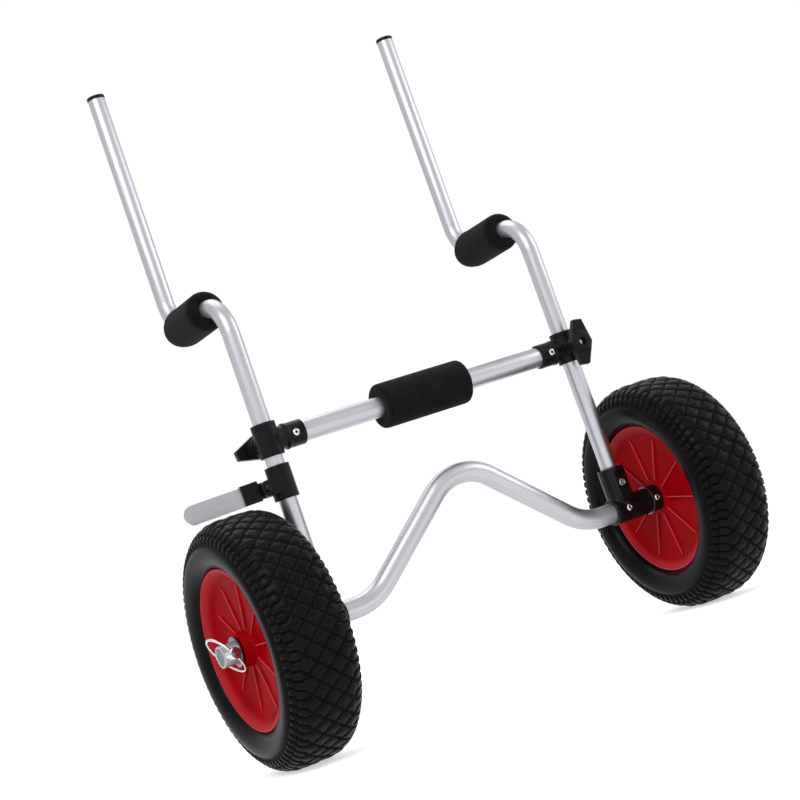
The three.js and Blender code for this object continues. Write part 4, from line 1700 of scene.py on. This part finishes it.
@dataclass
class Rim:
    """The red rim: a hub, a dished web with thin ribs on each face, and a soft lip."""

    middle: float = 254.0
    bore: float = 14.0
    steps: int = 400
    ribs: int = 10
    outer_turn: float = 18.0
    inner_turn: float = 9.0
    top: float = 23.4
    crowd: float = 0.82
    rib_highlight: float = 0.85  # how strongly a rib's top is painted with highlight
    wall_highlight: float = 0.3  # how strongly the rim's outer wall is painted with highlight
    outer_face: tuple[tuple[float, float], ...] = (
        (17.6, 24.5), (18.6, 22.9), (20.5, 21.9), (24, 21.3), (32, 21.1), (46, 21.2),
        (60, 21.6), (65, 22.2), (69, 23.7), (72, 26.1), (75, 29.2), (77.6, 31.7), (79.6, 33.2),
    )
    inner_face: tuple[tuple[float, float], ...] = (
        (17.6, 22.6), (19, 21.7), (22, 21.2), (32, 21.0), (46, 21.1), (60, 21.2), (64, 21.5),
        (68, 22.0), (72, 24.0), (75.5, 26.2), (78.4, 27.8), (80, 28.4),
    )

    def fine(self, face: Sequence[tuple[float, float]]) -> Outline:
        """Fills in a face's points about every millimetre, as (along, radius)."""
        points: Outline = []
        for (r0, x0), (r1, x1) in zip(face, face[1:]):
            count = max(1, round((r1 - r0) / 1.3))
            for step in range(count):
                share = step / count
                points.append((x0 + (x1 - x0) * share, r0 + (r1 - r0) * share))
        points.append((face[-1][1], face[-1][0]))
        return points

    def outline(self) -> Outline:
        """The section, from the hub's bore over the outer face, the barrel and the inner face."""
        outer = self.fine(self.outer_face)
        inner = [(-x, r) for x, r in self.fine(self.inner_face)]
        hub = [(34, self.bore), (34, 16.6), (33.8, 17.1), (33.2, 17.5)]
        lip = [(34, 80.6), (34, 81.6), (33.6, 82.3), (33, 82.5), (31.8, 82.5)]
        barrel = [(18.5, 75), (-18.5, 75), (-26.5, 82.5)]
        rear = [(-27.8, 82.5), (-28.4, 82.2), (-28.7, 81.6), (-28.7, 80.9)]
        boss = [(-23.3, 17.5), (-23.7, 17.1), (-23.7, self.bore)]
        return [*hub, *outer, *lip, *barrel, *rear, *reversed(inner), *boss]

    def place_ribs(self, piece: Piece) -> list[float]:
        """Raises the ribs on both faces and crowds the vertices round them.

        Args:
            piece: the turned rim.

        Returns:
            How much painted highlight each vertex has.
        """
        pale: list[float] = []
        for vertex in piece.data.vertices:
            place = vertex.co / MM - Vector((self.middle, 0, 0))
            radius = math.hypot(place.y, place.z)
            # the lip and the outer wall get a painted highlight
            lip = blend_step(80.2, 81.2, radius) * blend_step(27.5, 28.5, abs(place.x))
            lip = max(lip, self.wall_highlight * blend_step(71, 78, radius))
            inside = blend_step(17.7, 20, radius) * (1 - blend_step(74, 79, radius))
            if not inside or abs(place.x) < 19.5:
                pale.append(lip)
                continue
            first = math.radians(self.outer_turn if place.x > 0 else self.inner_turn)
            angle = math.atan2(place.y, place.z)
            angle -= inside * self.crowd / self.ribs * math.sin(self.ribs * (angle - first))
            pitch = math.tau / self.ribs
            off = (angle - first + pitch / 2) % pitch - pitch / 2
            rise = 1 - blend_step(0.4, 1.15, abs(off) * radius)
            rise *= blend_step(18.2, 21, radius) * (1 - blend_step(69, 74, radius))
            height = abs(place.x) + max(self.top - abs(place.x), 0.0) * rise
            vertex.co = MM * Vector((
                self.middle + math.copysign(height, place.x),
                radius * math.sin(angle),
                radius * math.cos(angle),
            ))
            # the rib tops get a painted highlight
            crest = blend_step(0.55, 0.95, rise) if self.top - abs(place.x) > 0.8 else 0.0
            pale.append(max(lip, self.rib_highlight * crest))
        return pale

    def moulding(self) -> Piece:
        """Turns the rim, raises its ribs and stores the painted highlight on its rib tops and lip.
        """
        piece = turned("ribbed_rim", self.outline(), Axis.X, (self.middle, 0, 0), self.steps)
        store(piece, "painted_highlight", self.place_ribs(piece))
        return piece

    def build(self, side: Side, shop: Workshop) -> None:
        """Fits one rim, whose one piece stands for both halves."""
        halves = ("rim_outer", "rim_inner")
        shop.fit(side, Twin("ribbed_rim", self.moulding, "wheel", shop.looks.rim, halves, 85))


@dataclass
class LinchPin:
    """The pin through the axle's end, with the wire ring that keeps it in."""

    x: float = 301.3
    shank: float = 3.5
    tail: float = 21.3
    head_start: float = 11.6
    head_end: float = 27.1
    head: float = 6.0
    ring: float = 23.2
    wire: float = 1.3
    tilt: float = 32.0
    eye: float = 2.4
    groove: float = 0.5
    groove_near: float = 12.8
    groove_far: float = 14.5

    def tilted(self) -> Matrix:
        """Moves what is built round the cart's middle to the pin, tilted as the ring is."""
        place = Matrix.Translation(Vector((self.x, 0, 0)) * MM)
        return place @ Matrix.Rotation(math.radians(self.tilt), 4, "Y")

    def lock_pin(self) -> Piece:
        """Turns the pin and drills its head for the ring."""
        low, slope = self.shank - self.groove, 0.4
        outline = rounded([
            (-self.tail, 0), (-self.tail, self.shank, 1.2), (-self.groove_far, self.shank, 0.2),
            (slope - self.groove_far, low, 0.2), (-slope - self.groove_near, low, 0.2),
            (-self.groove_near, self.shank, 0.2), (self.head_start, self.shank, 0.3),
            (self.head_start, self.head, 0.9), (self.head_end, self.head, 1.6),
            (self.head_end, 0),
        ], 4)
        piece = turned("lock_pin", outline, Axis.Y, (self.x, 0, 0), 48)
        tool = rod("tool", Axis.Z, self.eye, -12, 12, (0, self.ring, 0))
        tool.data.transform(self.tilted())
        combine(piece, tool, Cut.TAKE)
        return piece

    def snap_ring(self) -> Piece:
        """Bends the ring, whose cut ends meet inside the pin's head."""
        clear_selection()
        bpy.ops.mesh.primitive_circle_add(
            vertices=20, radius=self.wire * MM, fill_type="NGON",
            location=(0, self.ring * MM, 0),
        )
        piece = fresh("snap_ring")
        with editing():
            bpy.ops.mesh.spin(
                steps=120, angle=math.radians(357), center=(0, 0, 0), axis=(1, 0, 0)
            )
        mend(piece)
        piece.data.transform(self.tilted())
        return piece

    def build(self, side: Side, shop: Workshop) -> None:
        """Fits one pin and its ring."""
        steel = shop.looks.steel
        shop.fit(
            side,
            Twin("lock_pin", self.lock_pin, "pin", steel, ("linch_pin",)),
            Twin("snap_ring", self.snap_ring, "ring", steel, ("pin_ring",)),
        )


# Kickstand


@dataclass
class Kickstand:
    """The flat leg that folds on a collar of the left post."""

    z: float = 140.95
    collar: float = 13.0
    below: float = 15.5
    above: float = 19.5
    pivot: float = 19.0
    ear: float = 8.3
    ear_near: float = 5.0
    ear_far: float = 9.5
    bolt: float = 2.5
    head: float = 4.6
    head_depth: float = 2.6
    nut_depth: float = 2.3
    leg_width: float = 19.5
    leg_depth: float = 4.0
    leg_length: float = 91.0
    droop: float = 1.5
    pad_start: float = 8.2
    pad_end: float = 27.0
    pad_depth: float = 2.2
    neck_end: float = 3.4
    neck_wide: float = 9.0
    neck_narrow: float = 5.4
    tongue: float = 5.6
    slack: float = 0.5  # of the leg's hole round the bolt
    rib: float = 12.2
    rib_width: float = 1.2
    rib_depth: float = 0.7

    @property
    def hinge(self) -> Place:
        """The middle of the bolt."""
        return (-POST_X - self.pivot, 0, self.z)

    def build_collar(self, looks: Looks) -> None:
        """Builds the collar with its two ears."""
        centre = (-POST_X, 0, self.z)
        ends = (-self.below, self.above)
        parts = [rod("left_stand_collar", Axis.Z, self.collar, *ends, centre, 0.9, ROUND)]
        for low, high in ((-self.ear_far, -self.ear_near), (self.ear_near, self.ear_far)):
            parts.append(rod("ear", Axis.Y, self.ear, low, high, self.hinge, 0.6))
            start = (self.hinge[0], low, self.z - self.ear)
            parts.append(bar("arm", start, (-POST_X, high, self.z + self.ear), 0.5))
        piece = fused(parts, 0.5, 3)
        drill(piece, Axis.Z, POST_BORE, -self.below - 1, self.above + 1, centre, ROUND)
        drill(piece, Axis.Y, self.bolt + GAP, -12, 12, self.hinge)
        settle(piece, "left_post", looks.nylon, ("kickstand_collar",), sharp=40)

    def build_bolt(self, looks: Looks) -> None:
        """Turns the bolt with its domed head, and its lock nut."""
        seat = self.ear_far + GAP
        top, end = -seat - self.head_depth, seat + self.head_depth
        outline = rounded([
            (top, 0), (top, 2.4, 1.2), (-seat - 1, self.head, 1.0), (-seat, self.head, 0.2),
            (-seat, self.bolt), (end, self.bolt, 0.5), (end, 0),
        ])
        piece = turned("left_stand_bolt", outline, Axis.Y, self.hinge, 40)
        settle(piece, "left_post", looks.black_steel, ("kickstand_bolt",))
        clear_selection()
        middle = (self.hinge[0], seat + self.nut_depth / 2, self.z)
        bpy.ops.mesh.primitive_cylinder_add(
            vertices=6, radius=self.head * MM, depth=self.nut_depth * MM,
            rotation=(math.pi / 2, 0, 0), location=Vector(middle) * MM,
        )
        nut = fresh("left_stand_nut")
        break_edges(nut, 0.35, 2)
        drill(nut, Axis.Y, self.bolt + 0.1, seat - 1, seat + 4, self.hinge)
        settle(nut, "left_post", looks.black_steel, ("kickstand_nut",))

    def hang(self, piece: Piece) -> None:
        """Moves what is built along -X from the bolt to where the leg hangs."""
        place = Matrix.Translation(Vector(self.hinge) * MM)
        piece.data.transform(place @ Matrix.Rotation(math.radians(-self.droop), 4, "Y"))

    def build_leg(self, looks: Looks) -> None:
        """Builds the flat leg with its round tip and its narrow tongue."""
        half, thick = self.leg_width / 2, self.leg_depth / 2
        tip = self.leg_length - half
        blade = bar("left_stand_leg", (-tip, -thick, -half), (-self.pad_start, thick, half))
        end = rod("tip", Axis.Y, half, -thick, thick, (-tip, 0, 0), 0, 72)
        combine(blade, end, Cut.ADD)
        low, high = (-self.pad_start - 1, -thick, -self.tongue), (0, thick, self.tongue)
        combine(blade, bar("tongue", low, high), Cut.ADD)
        combine(blade, rod("root", Axis.Y, self.tongue, -thick, thick, steps=ROUND), Cut.ADD)
        drill(blade, Axis.Y, self.bolt + self.slack, -thick - 1, thick + 1)
        mend(blade)
        break_edges(blade, 0.7, 3, 50)
        apply_modifier(blade, "TRIANGULATE", min_vertices=5)
        self.hang(blade)
        settle(blade, "kickstand", looks.leg, ("kickstand_leg",))

    def neck(self) -> Piece:
        """Shapes the pad's neck, which narrows from the blade to the pivot between the ears."""
        deep = self.ear_near - 0.6
        low = (-self.pad_start - 0.4, -deep, -self.neck_wide)
        piece = bar("neck", low, (-self.neck_end, deep, self.neck_wide))
        for vertex in piece.data.vertices:
            if vertex.co.x > -(self.neck_end + 1) * MM:
                vertex.co.z *= self.neck_narrow / self.neck_wide
        return piece

    def build_pad(self, looks: Looks) -> None:
        """Builds the moulded pad on the leg's root, slotted for the tongue, with a curved line."""
        half = self.leg_width / 2
        back = -self.leg_depth / 2 - GAP
        face = back - self.pad_depth
        tip, root, top = -self.pad_end, -self.pad_start, half + GAP + 1
        front = bar("left_stand_pad", (tip, face, -half), (root, back, top), 0.5)
        lip = bar("lip", (tip, face, half + GAP), (root, -back, top), 0.3)
        piece = fused([front, lip, self.neck()], 0.4, 2)
        wide = self.tongue + GAP
        combine(piece, bar("tool", (root - 0.4, back, -wide), (1, -back, wide)), Cut.TAKE)
        near, far = self.rib, self.rib + self.rib_width
        low, deep = face - 0.2, face + self.rib_depth
        ring = rounded([(low, near), (deep, near, 0.2), (deep, far, 0.2), (low, far)])
        carve(piece, ring, Axis.Y, (root + 2, 0, 0), 72)
        self.hang(piece)
        settle(piece, "kickstand", looks.nylon, ("kickstand_pad",), sharp=40)

    def build(self, looks: Looks) -> None:
        """Builds the whole kickstand."""
        for build in (self.build_collar, self.build_bolt, self.build_leg, self.build_pad):
            build(looks)


# Camera, light and floor


@dataclass
class Studio:
    """The pale floor, the soft lights and the photograph's camera."""

    azimuth: float = 27.85
    elevation: float = -6.09
    roll: float = 19.41
    lens: float = 82.9
    shift: tuple[float, float] = (0.0269, -0.0826)
    place: tuple[float, float, float] = (-0.9272, -1.7158, 0.1812)
    surround: float = 0.6
    lift: float = 0.56
    aim: tuple[float, float, float] = (0, 0, 0.35)
    floor_size: float = 60.0
    floor_drop: float = 0.0004  # keeps the floor clear of the tyres' lowest faces

    def camera(self) -> None:
        """Sets up the camera where the photograph was taken from."""
        a, e = math.radians(self.azimuth), math.radians(self.elevation)
        r = math.radians(self.roll)
        forward = Vector((math.sin(a) * math.cos(e), math.cos(a) * math.cos(e), -math.sin(e)))
        level = Vector((math.cos(a), -math.sin(a), 0))
        down = forward.cross(level)
        right = level * math.cos(r) + down * math.sin(r)
        low = down * math.cos(r) - level * math.sin(r)
        matrix = Matrix((right, -low, -forward)).transposed().to_4x4()
        matrix.translation = Vector(self.place)
        bpy.ops.object.camera_add()
        camera = bpy.context.active_object
        camera.matrix_world = matrix
        camera.data.lens = self.lens
        camera.data.sensor_width = 36
        camera.data.shift_x, camera.data.shift_y = self.shift
        camera.data.clip_start = 0.01
        bpy.context.scene.camera = camera

    def seen(self, nodes: Nodes) -> Socket:
        """Tells whether a ray is one that should find the white surround."""
        path = nodes.add("LightPath").outputs
        rays = {0: path["Is Glossy Ray"], 1: path["Is Transmission Ray"]}
        mirror = nodes.maths("MAXIMUM", {}, rays)
        return nodes.maths("MAXIMUM", {}, {0: path["Is Camera Ray"], 1: mirror})

    def world(self) -> None:
        """Lights the cart from all round, and shows white behind it."""
        world = bpy.data.worlds.new("studio")
        bpy.context.scene.world = world
        world.use_nodes = True
        world.node_tree.nodes.clear()
        nodes = Nodes(world.node_tree)
        fill, white = [
            nodes.add("Background", {"Color": colour, "Strength": strength}).outputs[0]
            for colour, strength in ((linear("#FAFAFB"), self.surround), ((1, 1, 1, 1), 1.0))
        ]
        mix = nodes.add("MixShader", None, {0: self.seen(nodes), 1: fill, 2: white})
        nodes.add("OutputWorld", None, {"Surface": mix.outputs[0]})

    def lamp(self, name: str, place: Place, size: float, power: float) -> None:
        """Hangs a soft square lamp that faces the cart.

        Args:
            name: its name.
            place: where it hangs, in metres.
            size: its width in metres.
            power: its power in watts.
        """
        bpy.ops.object.light_add(type="AREA", location=place)
        lamp = bpy.context.active_object
        lamp.name = name
        lamp.data.size = size
        lamp.data.energy = power
        aim = Vector(self.aim) - Vector(place)
        lamp.rotation_euler = aim.to_track_quat("-Z", "Y").to_euler()

    def floor(self) -> None:
        """Lays the pale floor, lifted to white for the camera apart from the shadow."""
        clear_selection()
        bpy.ops.mesh.primitive_plane_add(
            size=self.floor_size, location=(0, 0, -self.floor_drop)
        )
        floor = fresh("studio_floor")
        paint = Finish("painted_studio_floor", "", "#F2F2F2", 0.9, specular=0.0)
        material = paint.build().material
        nodes = Nodes(material.node_tree)
        strength = nodes.maths("MULTIPLY", {1: self.lift}, {0: self.seen(nodes)})
        glow = nodes.add("Emission", {"Color": (1, 1, 1, 1)}, {"Strength": strength})
        both = nodes.add("AddShader", None, {0: nodes.shader.outputs[0], 1: glow.outputs[0]})
        output = material.node_tree.nodes["Material Output"]
        material.node_tree.links.new(both.outputs[0], output.inputs["Surface"])
        floor.data.materials.append(material)

    def build(self) -> None:
        """Sets up the whole studio."""
        bpy.context.scene.view_settings.view_transform = "Standard"
        self.camera()
        self.world()
        self.lamp("key_lamp", (-1.6, -1.5, 1.9), 1.5, 32.0)
        self.lamp("side_lamp", (2.0, -1.0, 1.2), 1.4, 16.0)
        self.lamp("top_lamp", (0.2, 1.0, 2.4), 1.6, 16.0)
        self.floor()


def dress_solids(looks: Looks) -> None:
    """Gives the solids that stay their real material."""
    for side in Side:
        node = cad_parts[f"{side.value}_knob_nut"]
        node.data.materials.clear()
        node.data.materials.append(looks.steel.material)


def main() -> None:
    """Builds the cart, one sub-assembly after another, and the studio round it."""
    logging.basicConfig(level=logging.INFO, format="%(name)s %(message)s")
    shop = Workshop()
    Studio().build()
    AxleTube().build(shop)
    Crossbar().build(shop)
    Foams().build(shop)
    for side in Side:
        LOG.info("%s end", side.value)
        for part in (Post, AxleBlock, Tee, ClampKnob, AxleRow, Tyre, Rim, LinchPin):
            part().build(side, shop)
    Kickstand().build(shop.looks)
    shop.clear()
    dress_solids(shop.looks)


if __name__ == "__main__":
    main()
